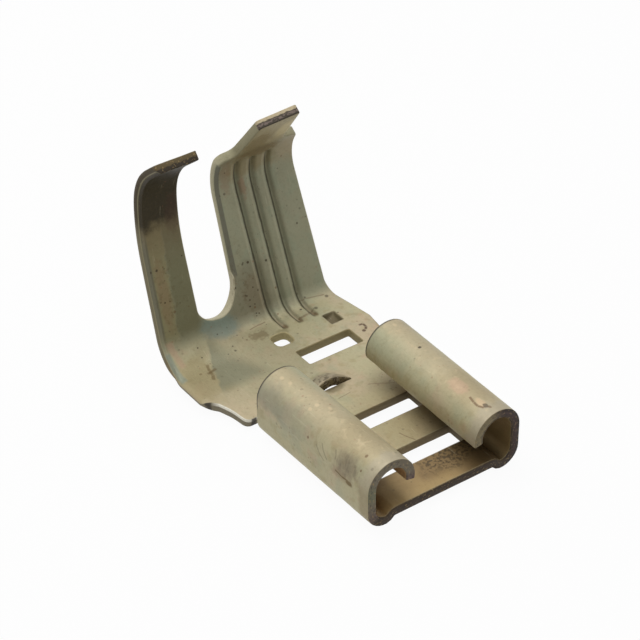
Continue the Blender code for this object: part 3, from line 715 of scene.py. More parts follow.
# Colours of the plating, its tarnish, painted shade and reflections, and the bare sheared edges, in screen
# values. A colour that only one mark has is given where the mark is laid.
KHAKI = (181, 173, 138)
BEIGE = (186, 171, 140)
ROLL_BEIGE = (178, 164, 133)
PEACH = (202, 184, 148)
GREEN_GREY = (164, 164, 134)
WING_GREY = (147, 147, 121)
# Painted reflection of the room on the rolls' outer sides
REFLECTED_COOL_GREY = (146, 144, 122)
TEAL = (124, 140, 130)
# Painted dark reflection on the coined bevels
REFLECTED_SLATE = (102, 100, 84)
OLIVE = (160, 146, 106)
DARK_OLIVE = (96, 82, 52)
TAN = (170, 145, 98)
ORANGE = (176, 134, 82)
PINK = (190, 156, 130)
RUST = (140, 92, 62)
BROWN = (112, 88, 58)
DARK_BROWN = (58, 46, 26)
PURPLE_BROWN = (92, 70, 68)
NEAR_BLACK = (34, 28, 24)
CREAM = (208, 198, 168)


class Field:
    """A value that varies over the sheet, worked out by math nodes with ordinary arithmetic."""

    def __init__(self, tree, socket):
        self.tree = tree
        self.socket = socket

    def combine(self, operation, *others):
        node = self.tree.nodes.new("ShaderNodeMath")
        node.operation = operation
        self.tree.links.new(self.socket, node.inputs[0])
        for place, other in enumerate(others, start=1):
            if isinstance(other, Field):
                self.tree.links.new(other.socket, node.inputs[place])
            else:
                node.inputs[place].default_value = other
        return Field(self.tree, node.outputs[0])

    def __add__(self, other):
        return self.combine("ADD", other)

    def __sub__(self, other):
        return self.combine("SUBTRACT", other)

    def __mul__(self, other):
        return self.combine("MULTIPLY", other)

    def size(self):
        return self.combine("ABSOLUTE")

    def largest(self, other):
        return self.combine("MAXIMUM", other)

    def inverse(self):
        """One minus the value."""
        return self.combine("MULTIPLY_ADD", -1.0, 1.0)

    def above(self, low, high):
        """Rise smoothly from 0 at low to 1 at high."""
        node = self.tree.nodes.new("ShaderNodeMapRange")
        node.interpolation_type = "SMOOTHSTEP"
        node.inputs["From Min"].default_value = low
        node.inputs["From Max"].default_value = high
        self.tree.links.new(self.socket, node.inputs["Value"])
        return Field(self.tree, node.outputs["Result"])

    def below(self, low, high):
        """Fall smoothly from 1 at low to 0 at high."""
        return self.above(low, high).inverse()

    def between(self, low, high, soft):
        return self.above(low - soft, low + soft) * self.below(high - soft, high + soft)


# Sockets of a colour mix node: the colour that is there, the colour laid over it, and the result
MIX_UNDER, MIX_OVER, MIX_RESULT = 6, 7, 2

# How far each seed moves a texture's coordinates, and the roughness of all soft noise
SHIFT_PER_SEED = (7.3, 3.1, 5.7)
NOISE_ROUGHNESS = 0.55


class Plating:
    """The plating's colour, laid on in layers over the blank's coordinates."""

    def __init__(self, tree):
        self.tree = tree
        self.blank = tree.nodes.new("ShaderNodeAttribute")
        self.blank.attribute_name = "blank"
        split = tree.nodes.new("ShaderNodeSeparateXYZ")
        tree.links.new(self.blank.outputs["Vector"], split.inputs[0])
        self.s, self.v, self.layer = [Field(tree, socket) for socket in split.outputs]
        edge = tree.nodes.new("ShaderNodeAttribute")
        edge.attribute_name = "rim"
        self.rim = Field(tree, edge.outputs["Fac"])
        self.side = self.v.size()
        self.inner = self.layer.above(-0.2, 0.6)
        self.outer = self.inner.inverse()
        self.made = {}
        self.drift = self.noise(1.1, 2.0) - 0.5
        self.ragged = self.noise(2.4, 11.0, 4.0) - 0.5
        self.grain = self.noise(6.0, 41.0, 4.0)
        self.colour = None

    def placed(self, per_mm, seed, layer_step=2.0):
        """The blank's coordinates, scaled and shifted to another part of a texture."""
        node = self.tree.nodes.new("ShaderNodeMapping")
        node.inputs["Scale"].default_value = (per_mm[0], per_mm[1], layer_step)
        node.inputs["Location"].default_value = [seed * shift for shift in SHIFT_PER_SEED]
        self.tree.links.new(self.blank.outputs["Vector"], node.inputs["Vector"])
        return node.outputs["Vector"]

    def noise(self, per_mm, seed, detail=3.0):
        """Soft noise with so many waves a millimetre; the same noise is made only once."""
        key = (per_mm, seed, detail)
        if key not in self.made:
            node = self.tree.nodes.new("ShaderNodeTexNoise")
            node.inputs["Scale"].default_value = 1.0
            node.inputs["Detail"].default_value = detail
            node.inputs["Roughness"].default_value = NOISE_ROUGHNESS
            stretch = per_mm if isinstance(per_mm, tuple) else (per_mm, per_mm)
            self.tree.links.new(self.placed(stretch, seed), node.inputs["Vector"])
            self.made[key] = Field(self.tree, node.outputs[0])
        return self.made[key]

    def specks(self, per_mm, seed, share, radius):
        """Small round marks in a share of the cells of a random net."""
        node = self.tree.nodes.new("ShaderNodeTexVoronoi")
        node.inputs["Scale"].default_value = 1.0
        self.tree.links.new(self.placed((per_mm, per_mm), seed, layer_step=9.0), node.inputs["Vector"])
        split = self.tree.nodes.new("ShaderNodeSeparateColor")
        self.tree.links.new(node.outputs["Color"], split.inputs[0])
        chosen = Field(self.tree, split.outputs[0]).above(1.0 - share, 1.0 - share + 0.01)
        distance = Field(self.tree, node.outputs["Distance"])
        reach = Field(self.tree, split.outputs[1]) * radius + radius * 0.5
        return (reach - distance).above(0.0, radius * 0.6) * chosen

    def zone(self, s_low, s_high, v_low, v_high, soft=0.35):
        """A patch of the blank whose borders wander."""
        s = self.s + self.drift * 1.4
        v = self.v - self.ragged
        return s.between(s_low, s_high, soft) * v.between(v_low, v_high, soft)

    def blob(self, centre, radii, ragged=0.0, soft=0.5):
        """An oval patch, whose outline noise breaks up."""
        across = (self.s - centre[0]) * (1.0 / radii[0])
        along = (self.v - centre[1]) * (1.0 / radii[1])
        level = (across * across + along * along).combine("SQRT").inverse()
        if ragged:
            level = level + (self.noise(4.0, 20.0) - 0.5) * ragged
        return level.above(0.0, soft)

    def stroke(self, start, end, width, wobble=0.0):
        """A line between two points of the blank, which noise bends."""
        run = Vector(end) - Vector(start)
        length = run.length
        ahead = run / length
        s_from = self.s - start[0]
        v_from = self.v - start[1]
        along = s_from * ahead.x + v_from * ahead.y
        across = v_from * ahead.x - s_from * ahead.y
        if wobble:
            across = across + self.ragged * wobble
        return across.size().below(width * 0.3, width) * along.between(0.0, length, width * 0.6)

    def path(self, places, width, wobble=0.0):
        """A line through several points."""
        parts = [self.stroke(start, end, width, wobble) for start, end in zip(places, places[1:])]
        mask = parts[0]
        for part in parts[1:]:
            mask = mask.largest(part)
        return mask

    def mixed(self, mask, colour):
        """Lay a colour as strongly as the mask says, and give the socket for what lies under it."""
        node = self.tree.nodes.new("ShaderNodeMix")
        node.data_type = "RGBA"
        node.inputs[MIX_OVER].default_value = linear_colour(*colour)
        self.tree.links.new(mask.socket, node.inputs[0])
        self.colour = node.outputs[MIX_RESULT]
        return node.inputs[MIX_UNDER]

    def start(self, first, second, mask):
        """Lay the two ground colours, mixed by a mask."""
        self.mixed(mask, second).default_value = linear_colour(*first)

    def lay(self, colour, mask, strength=1.0):
        """Put a colour over what is there, as strongly as the mask says."""
        if strength != 1.0:
            mask = mask * strength
        under = self.colour
        self.tree.links.new(under, self.mixed(mask, colour))


def paint_plating(plating):
    """Broad, soft changes of colour that run over both faces."""
    lay = plating.lay
    plating.start(KHAKI, BEIGE, plating.noise(0.42, 1.0, 2.0).above(0.42, 0.62))
    lay(GREEN_GREY, plating.noise(1.1, 2.0).above(0.47, 0.66), 0.5)
    lay(OLIVE, plating.noise(1.9, 3.0, 2.0).above(0.54, 0.68), 0.45)
    lay(PINK, plating.noise(1.5, 4.0, 2.0).above(0.57, 0.7), 0.28)


def paint_rolls(plating):
    """The rolls from outside: beige tops, a painted cool reflection on the rear sides, a paler band at the
    mouth.
    """
    lay, blob = plating.lay, plating.blob
    s, side, outer = plating.s, plating.side, plating.outer
    top = side.between(6.1, 7.25, 0.35) * outer
    lay(ROLL_BEIGE, top, 0.75)
    lay((160, 144, 108), side.between(5.9, 7.4, 0.4) * s.between(4.4, 6.9, 0.8) * outer, 0.55)
    wavy = side + plating.drift * 1.2
    # Painted reflection: a cool grey band on the rolls' outer sides towards the rear
    lay(REFLECTED_COOL_GREY, wavy.between(5.1, 6.0, 0.3) * outer * s.below(1.0, 5.0), 0.7)
    lay(GREEN_GREY, side.between(7.0, 7.9, 0.3) * outer * s.below(0.8, 4.6), 0.7)
    lay(OLIVE, side.above(7.6, 8.3) * outer, 0.45)
    near_mouth = (s + plating.ragged * 0.8).above(6.8, 7.15) * outer
    lay((170, 160, 136), near_mouth * side.above(4.9, 5.6), 0.75)
    lay((140, 124, 92), near_mouth * side.below(4.9, 5.6), 0.6)
    rear_edge = side.above(4.6, 4.9) * s.below(0.05, 0.12) * outer
    lay(NEAR_BLACK, rear_edge, 0.8)
    blots = plating.noise(2.6, 5.0, 2.0).above(0.6, 0.66)
    lay(PEACH, blots * top, 0.28)
    for place in ((0.61, -6.43), (1.1, -6.48), (2.93, -6.49), (2.87, -6.22), (3.42, -6.73), (0.45, 6.6)):
        lay(PEACH, blob(place, (0.14, 0.09), 0.6) * outer, 0.6)


def paint_floor(plating):
    """Inside the rolls, the tab's floor with its dirty front strip and painted shade beside the right roll,
    and the wire's floor.
    """
    lay, zone = plating.lay, plating.zone
    s, v, side, inner = plating.s, plating.v, plating.side, plating.inner
    in_rolls = side.above(2.9, 3.6) * inner * s.above(-0.2, 0.3)
    lay(ORANGE, in_rolls * v.below(-0.5, 0.5), 0.8)
    lay((156, 122, 68), in_rolls * v.above(-0.5, 0.5), 0.8)
    tab_floor = s.above(-0.8, 2.0) * side.below(3.0, 3.8) * inner
    # The tab's floor darker towards the right roll and the front, then painted shade in dark olive beside
    # the right roll's foot
    lay((160, 143, 104), tab_floor * (v * 0.3 + s * 0.12).above(-0.4, 1.0), 0.75)
    lay(DARK_OLIVE, s.above(2.4, 4.6) * v.above(0.4, 2.8) * inner, 0.5)
    strip = (s + plating.drift * 0.5).above(5.55, 5.9) * inner * side.below(2.9, 3.6)
    lay((130, 105, 66), strip, 0.9)
    lay(TAN, strip * s.above(6.8, 7.4) * v.below(0.4, 1.6), 0.75)
    # Painted shade: the front strip darkened towards the right roll
    lay(DARK_BROWN, strip * v.above(0.4, 2.8), 0.6)
    lay(TAN, zone(6.2, 8.0, -2.6, -0.6) * inner, 0.6)
    grit = plating.noise(7.0, 44.0).above(0.47, 0.57)
    lay(DARK_BROWN, grit * zone(5.7, 6.9, -0.1, 2.8) * inner, 0.75)

    lay((163, 156, 124), zone(-5.8, -1.5, -3.6, 0.5) * inner, 0.6)
    lay((158, 145, 106), zone(-5.4, -2.3, -5.4, -3.3) * inner, 0.75)
    lay(BEIGE, zone(-2.6, -0.5, -4.9, -2.9) * inner, 0.6)


def paint_wings(plating):
    """The wings' greyer plating, olive under the flap and on the narrow wing."""
    lay, blob, zone = plating.lay, plating.blob, plating.zone
    s, v, inner = plating.s, plating.v, plating.inner
    lay(WING_GREY, s.below(-6.5, -5.5), 0.9)
    lay((143, 148, 122), s.below(-6.4, -5.6) * plating.noise(1.1, 2.0).above(0.5, 0.62), 0.55)
    lay((128, 122, 98), zone(-8.8, -6.3, -1.4, 1.4), 0.6)
    lay((140, 125, 88), zone(-14.9, -12.8, 0.4, 3.1) * inner, 0.7)
    lay((164, 146, 114), zone(-14.6, -12.8, 3.1, 5.0) * inner, 0.6)
    lay((124, 106, 66), blob((-14.15, 1.9), (0.6, 1.3), 1.3) * inner, 0.8)
    # The flap's warmer tone, partly painted light bounced up from the floor
    flap = s.below(-14.9, -14.3) * v.above(-0.4, 0.4)
    lay((168, 152, 112), flap, 0.75)
    lay((134, 116, 74), blob((-15.2, 1.5), (1.1, 0.9), 1.0) * inner, 0.7)
    lay((200, 184, 134), blob((-15.75, 2.7), (0.95, 0.6), 0.3) * inner, 0.6)
    narrow = v.below(-3.1, -2.6) * s.below(-6.9, -5.7)
    split = v + plating.ragged * 0.4 + s * 0.03
    lay((143, 136, 98), narrow * split.below(-4.35, -4.2), 0.9)
    lay((120, 117, 86), narrow * split.above(-4.35, -4.2), 0.9)


def paint_tarnish_and_shade(plating):
    """The narrow wing darker towards its tip, the cool patches at the foot of the wings, and painted shade
    in a wedge on the wire floor.
    """
    lay, blob = plating.lay, plating.blob
    s, v, inner = plating.s, plating.v, plating.inner
    narrow = v.below(-3.0, -2.8) * inner
    edge = s + plating.ragged * 1.6 + (v + 4.0) * 0.25
    lay(BROWN, narrow * edge.below(-12.0, -9.4), 0.5)
    lay((42, 34, 12), narrow * edge.below(-12.4, -11.3), 0.95)
    lay((70, 44, 32), blob((-12.3, -3.35), (1.3, 0.5), 1.0) * inner, 0.35)
    lay(RUST, blob((-8.6, -4.4), (2.2, 0.35), 1.0) * inner, 0.25)
    lay(TEAL, blob((-6.35, -1.95), (0.95, 1.35), 0.5) * inner, 0.7)
    # Painted shade: a wedge on the wire floor's slope below the narrow wing, which faces away from the
    # light
    left = (s * 0.35 + v + plating.ragged * 0.35).above(-4.95, -4.75)
    right = (v - s * 0.45).below(-0.75, 0.35)
    painted_shade_wedge = left * right * s.between(-6.6, -2.7, 0.45) * inner
    lay((130, 129, 104), painted_shade_wedge, 0.85)
    lay(PINK, plating.stroke((-6.4, -4.66), (-5.0, -4.4), 0.22, 0.3) * inner, 0.5)
    # Painted dark reflection where the narrow wing's bevel ends
    lay(TEAL, plating.stroke((-5.9, -4.86), (-4.2, -4.78), 0.16, 0.1), 0.6)
    lay(BROWN, blob((-7.4, 0.4), (1.3, 0.7), 1.4) * inner, 0.28)
    for centre, radii, strength in (((-13.2, 0.3), (1.5, 0.35), 0.25),
                                    ((-12.2, 1.15), (0.7, 0.2), 0.45)):
        lay(RUST, blob(centre, radii, 1.4) * inner, strength)


def paint_wing_stains(plating):
    """Single stains on the wire floor and the wings, where the photograph shows them."""
    lay, blob, path = plating.lay, plating.blob, plating.path
    inner = plating.inner
    soft_brown = (106, 86, 50)
    for places in (((-4.64, -3.46), (-4.22, -3.55), (-3.9, -3.6), (-3.58, -3.76)),
                   ((-4.19, -3.24), (-4.08, -3.75))):
        lay(soft_brown, path(places, 0.11, 0.15) * inner, 0.65)
    hook = path(((-3.12, 3.64), (-3.1, 3.83), (-2.86, 3.83), (-2.7, 3.7)), 0.09)
    lay((82, 58, 38), hook.largest(blob((-2.67, 3.58), (0.12, 0.12))) * inner, 0.9)
    lay(soft_brown, blob((-5.1, -0.4), (0.42, 0.6), 2.0) * inner, 0.5)
    lay(BROWN, path(((-5.7, -0.48), (-5.76, -0.07), (-5.8, 0.4)), 0.05, 0.1) * inner, 0.6)
    lay(BROWN, path(((-5.12, 1.8), (-5.12, 2.3), (-5.33, 2.7)), 0.1, 0.25) * inner, 0.6)
    lay(BROWN, path(((-6.2, 2.5), (-5.95, 3.7)), 0.05, 0.15) * inner, 0.5)
    for centre, radius in (((-5.8, 3.76), 0.12), ((-5.3, 2.85), 0.12), ((-4.45, 3.45), 0.06),
                           ((-7.48, 0.62), 0.07), ((-7.19, 0.1), 0.06), ((-6.93, 0.29), 0.05),
                           ((-7.42, 0.0), 0.06), ((-9.68, 3.37), 0.07), ((-6.4, 0.36), 0.06)):
        lay(DARK_BROWN, blob(centre, (radius, radius), 0.5) * inner, 0.65)


def paint_roll_stains(plating):
    """Single stains and scratches on the rolls and the tab's floor."""
    lay, blob, path = plating.lay, plating.blob, plating.path
    inner, outer = plating.inner, plating.outer
    lay(BROWN, path(((0.62, -0.2), (0.45, 1.22), (1.15, 2.3)), 0.035, 0.1) * inner, 0.55)
    lay(BROWN, path(((3.95, 0.45), (4.72, 0.74)), 0.04, 0.1) * inner, 0.6)

    # Right roll: a dot, a pink patch and a torn scratch
    lay(DARK_BROWN, blob((2.32, 6.68), (0.09, 0.09)) * outer, 0.9)
    lay(PINK, blob((5.3, 6.9), (0.75, 0.35), 0.9) * outer, 0.5)
    lay((206, 176, 140), blob((6.72, 6.84), (0.42, 0.16), 0.6) * outer, 0.5)
    torn = path(((6.13, 6.95), (6.48, 7.0), (6.76, 7.02), (7.02, 6.92)), 0.065, 0.05)
    lay(BROWN, torn * outer, 0.85)
    lay(DARK_BROWN, blob((6.97, 6.81), (0.17, 0.1), 1.4) * outer, 0.75)
    lay(BROWN, blob((7.14, 6.75), (0.12, 0.07), 0.8) * outer, 0.7)

    # Left roll: a smudge with darker streaks, fine arcs and a thick brown scratch
    lay((128, 108, 76), blob((5.8, -5.02), (1.0, 0.4), 0.7, 0.8) * outer, 0.5)
    smudge = blob((6.05, -5.55), (1.1, 0.62), 0.8, 0.8)
    lay((118, 102, 82), smudge * outer, 0.62)
    streaks = plating.noise((5.0, 1.4), 33.0).above(0.5, 0.64)
    lay((84, 74, 58), smudge * streaks * outer, 0.32)
    for places in (((4.09, -5.42), (4.34, -5.22), (4.69, -5.0)),
                   ((4.4, -5.6), (4.57, -5.42), (4.89, -5.18)),
                   ((5.2, -5.75), (5.33, -5.6), (5.36, -5.45))):
        lay((112, 106, 80), path(places, 0.05, 0.06) * outer, 0.45)
    scratch = path(((5.42, -5.04), (5.82, -4.97), (6.27, -5.0)), 0.07, 0.08)
    lay((108, 88, 46), scratch.largest(blob((6.33, -4.92), (0.3, 0.15), 1.0)) * outer, 0.85)
    for centre, radius in (((6.61, -6.23), 0.09), ((6.84, -5.74), 0.06), ((3.55, -5.42), 0.07)):
        lay(BROWN, blob(centre, (radius, radius), 0.4) * outer, 0.8)


def paint_forms(plating):
    """Dirt and painted shade in the grooves with a painted highlight beside them, painted dark reflections
    on the bevels, painted shade in the pit, and the tab stop with a painted shadow in front of it.
    """
    lay, blob = plating.lay, plating.blob
    s, v, inner, grain = plating.s, plating.v, plating.inner, plating.grain
    on_wing = s.between(GROOVE_LOW + 0.15, GROOVE_HIGH - 0.05, 0.12) * inner
    for line in GROOVE_LINES:
        across = v - line
        # Dirt and painted shade: each groove darkest along its left flank, fading to the right
        shade = across.above(-0.2, -0.05) * across.below(0.0, 0.3)
        lay((92, 90, 64), shade * on_wing, 0.5)
        dirt_and_shade_line = (across + plating.ragged * 0.1).between(-0.17, -0.03, 0.03)
        lay((58, 54, 34), dirt_and_shade_line * on_wing, 0.82)
        # Painted highlight along each groove's left rim
        lay(CREAM, across.between(-0.31, -0.23, 0.05) * on_wing, 0.2)
        lay(BROWN, blob((GROOVE_HIGH - 0.2, line + 0.03), (0.28, 0.14), 0.4) * inner, 0.6)
    slope = (wing_edge(-SHOULDER, -1) - WING_LEFT) / (SHOULDER - WING_BEND_FROM_ROLLS)
    inward = v + s * slope - (WING_LEFT - slope * WING_BEND_FROM_ROLLS)
    bevel = inward.below(BEVEL_WIDTH, BEVEL_WIDTH + 0.06) * inward.above(-0.4, -0.3)
    # Painted dark reflection on the coined bevels along the wings' left edges
    lay(REFLECTED_SLATE, bevel * s.between(WING_BEVEL_END, WING_BEVEL_START - 0.08, 0.08), 0.9)
    bevel = v.below(-FLOOR_LEFT + BEVEL_WIDTH + 0.05, -FLOOR_LEFT + BEVEL_WIDTH + 0.14)
    lay(REFLECTED_SLATE, bevel * s.between(-11.4, -6.6, 0.7), 0.75)

    # Painted shade in the pit, darkest in its left corner
    pit = s.between(PIT_REAR, PIT_FRONT, 0.05) * v.between(PIT_LEFT, PIT_RIGHT, 0.05)
    pit = pit * plating.layer.above(-0.99, -0.95)
    lay((98, 87, 58), pit, 0.92)
    corner = PIT_LEFT - PIT_REAR * 0.5
    lay((60, 49, 28), pit * (v - s * 0.5).below(corner - 0.1, corner + 0.2), 0.8)
    lay((132, 123, 84), blob((-4.68, 0.55), (0.3, 0.5), 0.8) * inner, 0.6)
    stop = blob((STOP_FRONT - 0.3, -0.1), (0.65, 0.75), 0.8) * inner
    lay((138, 128, 112), stop, 0.5)
    lay((84, 74, 54), stop * grain.above(0.46, 0.58), 0.75)
    lay((112, 100, 64), blob((STOP_FRONT - 0.1, 0.55), (0.22, 0.3), 0.6) * inner, 0.5)
    # Painted shadow in front of the stop's slit
    lay((124, 112, 80), blob((STOP_FRONT + 0.2, 0.1), (0.3, 0.6), 0.5) * inner, 0.7)


def paint_edges(plating):
    """The sheared edges, lighter on the wings and dark and rough round the mouth."""
    lay, blob = plating.lay, plating.blob
    s, v, layer, rim = plating.s, plating.v, plating.layer, plating.rim
    side, grain = plating.side, plating.grain
    lay((124, 106, 72), rim * s.above(-6.0, -5.5), 0.8)
    lay((150, 138, 98), rim * s.between(-5.8, -1.0, 0.25) * side.below(3.0, 3.4), 0.8)
    # Painted light on the pilot hole's wall, which the lamp leaves in shade
    lay((190, 178, 134), blob((-4.6, 0.5), (1.1, 1.1)) * rim, 0.8)
    lay(DARK_BROWN, rim * s.above(0.5, 1.5) * v.above(0.0, 3.2), 0.55)
    lay(OLIVE, rim * side.below(3.0, 3.4) * s.between(-4.0, 6.6, 0.3) * layer.below(-0.95, -0.8), 0.6)
    lay(CREAM, rim * s.below(-6.4, -5.9), 0.5)
    narrow = rim * v.below(-2.7, -2.5)
    lay((120, 112, 86), narrow * v.below(-4.6, -4.4) * s.below(-5.8, -5.0), 0.9)
    lay(DARK_BROWN, narrow * s.below(-12.6, -11.2), 0.85)
    lay((142, 137, 108), rim * s.below(-14.3, -13.9) * v.above(-1.0, -0.8), 0.85)

    # The neck's left edge: its burnished upper line painted near white as a highlight, dirt at its left end
    # and a painted shadow where it meets the roll's rear
    neck = rim * v.below(-3.6, -3.2) * s.between(-4.6, -0.3, 0.1)
    lay((132, 124, 104), neck, 0.9)
    lay((238, 234, 218), neck * layer.above(0.3, 0.5) * s.above(-2.4, -2.0), 0.95)
    for centre in ((-2.5, -4.76), (-0.62, -3.72)):
        lay(NEAR_BLACK, blob(centre, (0.24, 0.16), 0.5) * rim, 0.8)

    # The stop's torn front face and the rolls' rear rims
    torn = rim * s.between(STOP_FRONT - 0.1, STOP_FRONT + 0.02, 0.03)
    lay((122, 110, 82), torn, 0.95)
    lay((58, 48, 34), torn * grain.above(0.46, 0.56) * v.below(0.4, 0.9), 0.8)
    lay((168, 156, 140), torn * plating.noise(9.0, 45.0).above(0.56, 0.62), 0.6)
    rear = side.above(4.4, 4.6) * s.below(0.05, 0.09) * s.above(-0.3, -0.2)
    lay(NEAR_BLACK, rear * layer.below(-0.85, -0.65), 0.85)

    # Mouth: the left curl greyer, the right curl and the front edge darker
    mouth = rim * s.above(7.3, 7.45)
    lay((52, 39, 28), mouth, 0.96)
    left = mouth * v.below(-3.9, -3.5)
    lay((124, 115, 96), left, 0.85)
    lay((106, 112, 84), left * side.between(4.7, 5.4, 0.25), 0.6)
    lay(PURPLE_BROWN, left * side.above(ROLL_EDGE - 0.6, ROLL_EDGE - 0.1), 0.8)
    lay(PURPLE_BROWN, left * side.below(3.7, 4.5), 0.7)
    right = mouth * v.above(3.4, 3.9)
    lay((62, 44, 42), right, 0.85)
    lay((142, 130, 98), right * v.above(6.3, 7.2), 0.8)
    lay(NEAR_BLACK, mouth * v.between(3.2, 6.4, 0.4) * layer.below(-0.6, -0.2), 0.75)
    lay(DARK_BROWN, right * layer.above(0.3, 0.7), 0.7)
    lay(TAN, mouth * side.below(3.0, 3.4) * layer.above(0.85, 0.99), 0.4)
    lay(NEAR_BLACK, mouth * grain.above(0.55, 0.65), 0.5)
    lay(TAN, mouth * grain.below(0.36, 0.42), 0.45)

    # Ends of the wings: pale above, black and torn below
    flap_end = rim * s.below(FLAP_END_SLANT - TIP + 0.12, FLAP_END_SLANT - TIP + 0.2) * v.above(-0.5, 0.0)
    lay(BEIGE, flap_end, 0.9)
    band = flap_end * (layer + (grain - 0.5) * 0.8).above(-0.35, -0.15)
    lay(NEAR_BLACK, band, 0.92)
    lay((132, 116, 108), band * layer.between(0.0, 0.6, 0.15) * grain.above(0.42, 0.52), 0.75)
    narrow_end = rim * s.below(-NARROW.length + 0.1, -NARROW.length + 0.3) * v.below(-2.8, -2.5)
    lay(DARK_OLIVE, narrow_end, 0.9)
    lay(NEAR_BLACK, narrow_end * (layer + (grain - 0.5) * 1.2).above(-0.1, 0.2), 0.8)
    lay(TAN, narrow_end * plating.noise(9.0, 45.0).above(0.6, 0.66), 0.6)


def paint_specks(plating):
    """Fine grain, small pits, rust points and handling scratches, thicker in some places."""
    lay, blob = plating.lay, plating.blob
    inner = plating.inner
    lay(DARK_OLIVE, plating.noise(9.0, 45.0).above(0.45, 0.75), 0.14)
    dense = plating.noise(0.7, 51.0, 2.0).above(0.4, 0.62)
    on_wings = plating.s.below(-6.0, -2.5) * 0.65 + 0.35
    lay(BROWN, plating.specks(2.3, 52.0, 0.26, 0.14) * on_wings, 0.7)
    lay(DARK_BROWN, plating.specks(3.4, 53.0, 0.55, 0.19) * dense * on_wings, 0.85)
    lay(RUST, plating.specks(4.6, 54.0, 0.25, 0.2) * dense, 0.4)
    dirty = blob((-8.3, -4.2), (2.6, 1.1), 0.6, 0.8)
    dirty = dirty.largest(blob((-8.2, -0.5), (2.4, 1.6), 0.6, 0.8)) * inner
    lay(DARK_BROWN, plating.specks(3.9, 59.0, 0.5, 0.2) * dirty, 0.8)
    lay(DARK_OLIVE, plating.noise(4.0, 20.0).above(0.52, 0.62) * dirty, 0.3)
    thick = blob((6.3, 1.1), (0.9, 1.5), 0.5) * inner
    thick = thick.largest(blob((-7.2, 0.4), (1.6, 0.8), 0.5) * inner)
    thick = thick.largest(blob((6.6, -1.2), (0.6, 0.5), 0.5) * inner)
    lay(NEAR_BLACK, plating.specks(5.0, 57.0, 0.5, 0.2) * thick, 0.7)
    scratches = plating.noise((0.8, 9.0), 58.0, 2.0).above(0.66, 0.7)
    lay(CREAM, scratches * dense, 0.2)


# How metallic, dull and rough the worn plating is, the last as a height in metres
METALLIC = 0.3
LEAST_ROUGHNESS = 0.36
RELIEF_STRENGTH = 0.55
RELIEF_HEIGHT = 0.00004


def aged_tin_plate(name):
    """Dull tin plating over brass, tarnished in patches, with pits, stains, dark cut edges and some painted
    shade, highlights and reflections.
    """
    material = bpy.data.materials.new(name)
    material.use_nodes = True
    tree = material.node_tree
    shader = tree.nodes["Principled BSDF"]
    shader.inputs["Metallic"].default_value = METALLIC
    plating = Plating(tree)
    layers = {
        "receptacle_plating": (paint_rolls, paint_floor, paint_roll_stains),
        "wing_plating": (paint_floor, paint_wings, paint_tarnish_and_shade, paint_wing_stains, paint_forms),
        "sheared_edge": (paint_wings, paint_edges),
    }
    for paint in (paint_plating, *layers[name], paint_specks):
        paint(plating)
    tree.links.new(plating.colour, shader.inputs["Base Color"])

    worn = plating.noise(0.9, 61.0)
    fine = plating.noise(5.0, 62.0, 4.0)
    roughness = worn * 0.28 + fine * 0.14 + plating.rim * 0.12 + LEAST_ROUGHNESS
    tree.links.new(roughness.socket, shader.inputs["Roughness"])
    relief = fine * 0.5 + plating.noise(14.0, 63.0) * 0.3 + plating.noise((0.9, 12.0), 64.0, 2.0) * 0.2
    bump = tree.nodes.new("ShaderNodeBump")
    bump.inputs["Strength"].default_value = RELIEF_STRENGTH
    bump.inputs["Distance"].default_value = RELIEF_HEIGHT
    tree.links.new(relief.socket, bump.inputs["Height"])
    tree.links.new(bump.outputs["Normal"], shader.inputs["Normal"])
    return material

# Camera, fitted to points of the photograph: angles, lens and sensor in millimetres, and distance,
# aim and the place of the rolls' rear in the part's millimetres
CAMERA_AZIMUTH = math.radians(54.513)
CAMERA_ELEVATION = math.radians(36.108)
CAMERA_ROLL = math.radians(-0.373)
CAMERA_LENS = 123.54
CAMERA_DISTANCE = 94.005
CAMERA_AIM = Vector((-0.599, 3.502))
ROLLS_REAR_FROM_ORIGIN = Vector((0.6725, 0.2746, 0.0))
CAMERA_SENSOR = 36.0
NEAREST_SEEN = 0.001
FARTHEST_SEEN = 10.0

# Stage: a plain room, a pale floor that glows white to the eye, and one lamp overhead, in metres
WHITE = (1.0, 1.0, 1.0, 1.0)
ROOM_LIGHT = 0.34
FLOOR_PAINT = (0.8, 0.8, 0.8, 1.0)
FLOOR_GLOW_SHARE = 0.95
FLOOR_REACH = 1.5
FLOOR_DROP = 0.00002
LAMP_PLACE = Vector((-0.03, -0.01, 0.12))
LAMP_SIZE = 0.12
LAMP_POWER = 0.12


def make_camera():
    """The photograph's camera, turned about its own line of sight by its roll."""
    data = bpy.data.cameras.new("camera")
    data.sensor_width = CAMERA_SENSOR
    data.lens = CAMERA_LENS
    data.clip_start = NEAREST_SEEN
    data.clip_end = FARTHEST_SEEN
    camera = bpy.data.objects.new("camera", data)
    bpy.context.scene.collection.objects.link(camera)
    back = Vector((math.sin(CAMERA_AZIMUTH) * math.cos(CAMERA_ELEVATION),
                   -math.cos(CAMERA_AZIMUTH) * math.cos(CAMERA_ELEVATION),
                   math.sin(CAMERA_ELEVATION)))
    level = Vector((math.cos(CAMERA_AZIMUTH), math.sin(CAMERA_AZIMUTH), 0.0))
    upright = back.cross(level)
    right = level * math.cos(CAMERA_ROLL) + upright * math.sin(CAMERA_ROLL)
    up = upright * math.cos(CAMERA_ROLL) - level * math.sin(CAMERA_ROLL)
    place = right * CAMERA_AIM.x + up * CAMERA_AIM.y + back * CAMERA_DISTANCE + ROLLS_REAR_FROM_ORIGIN
    pose = Matrix((right, up, back)).transposed().to_4x4()
    pose.translation = place * MM
    camera.matrix_world = pose
    bpy.context.scene.camera = camera


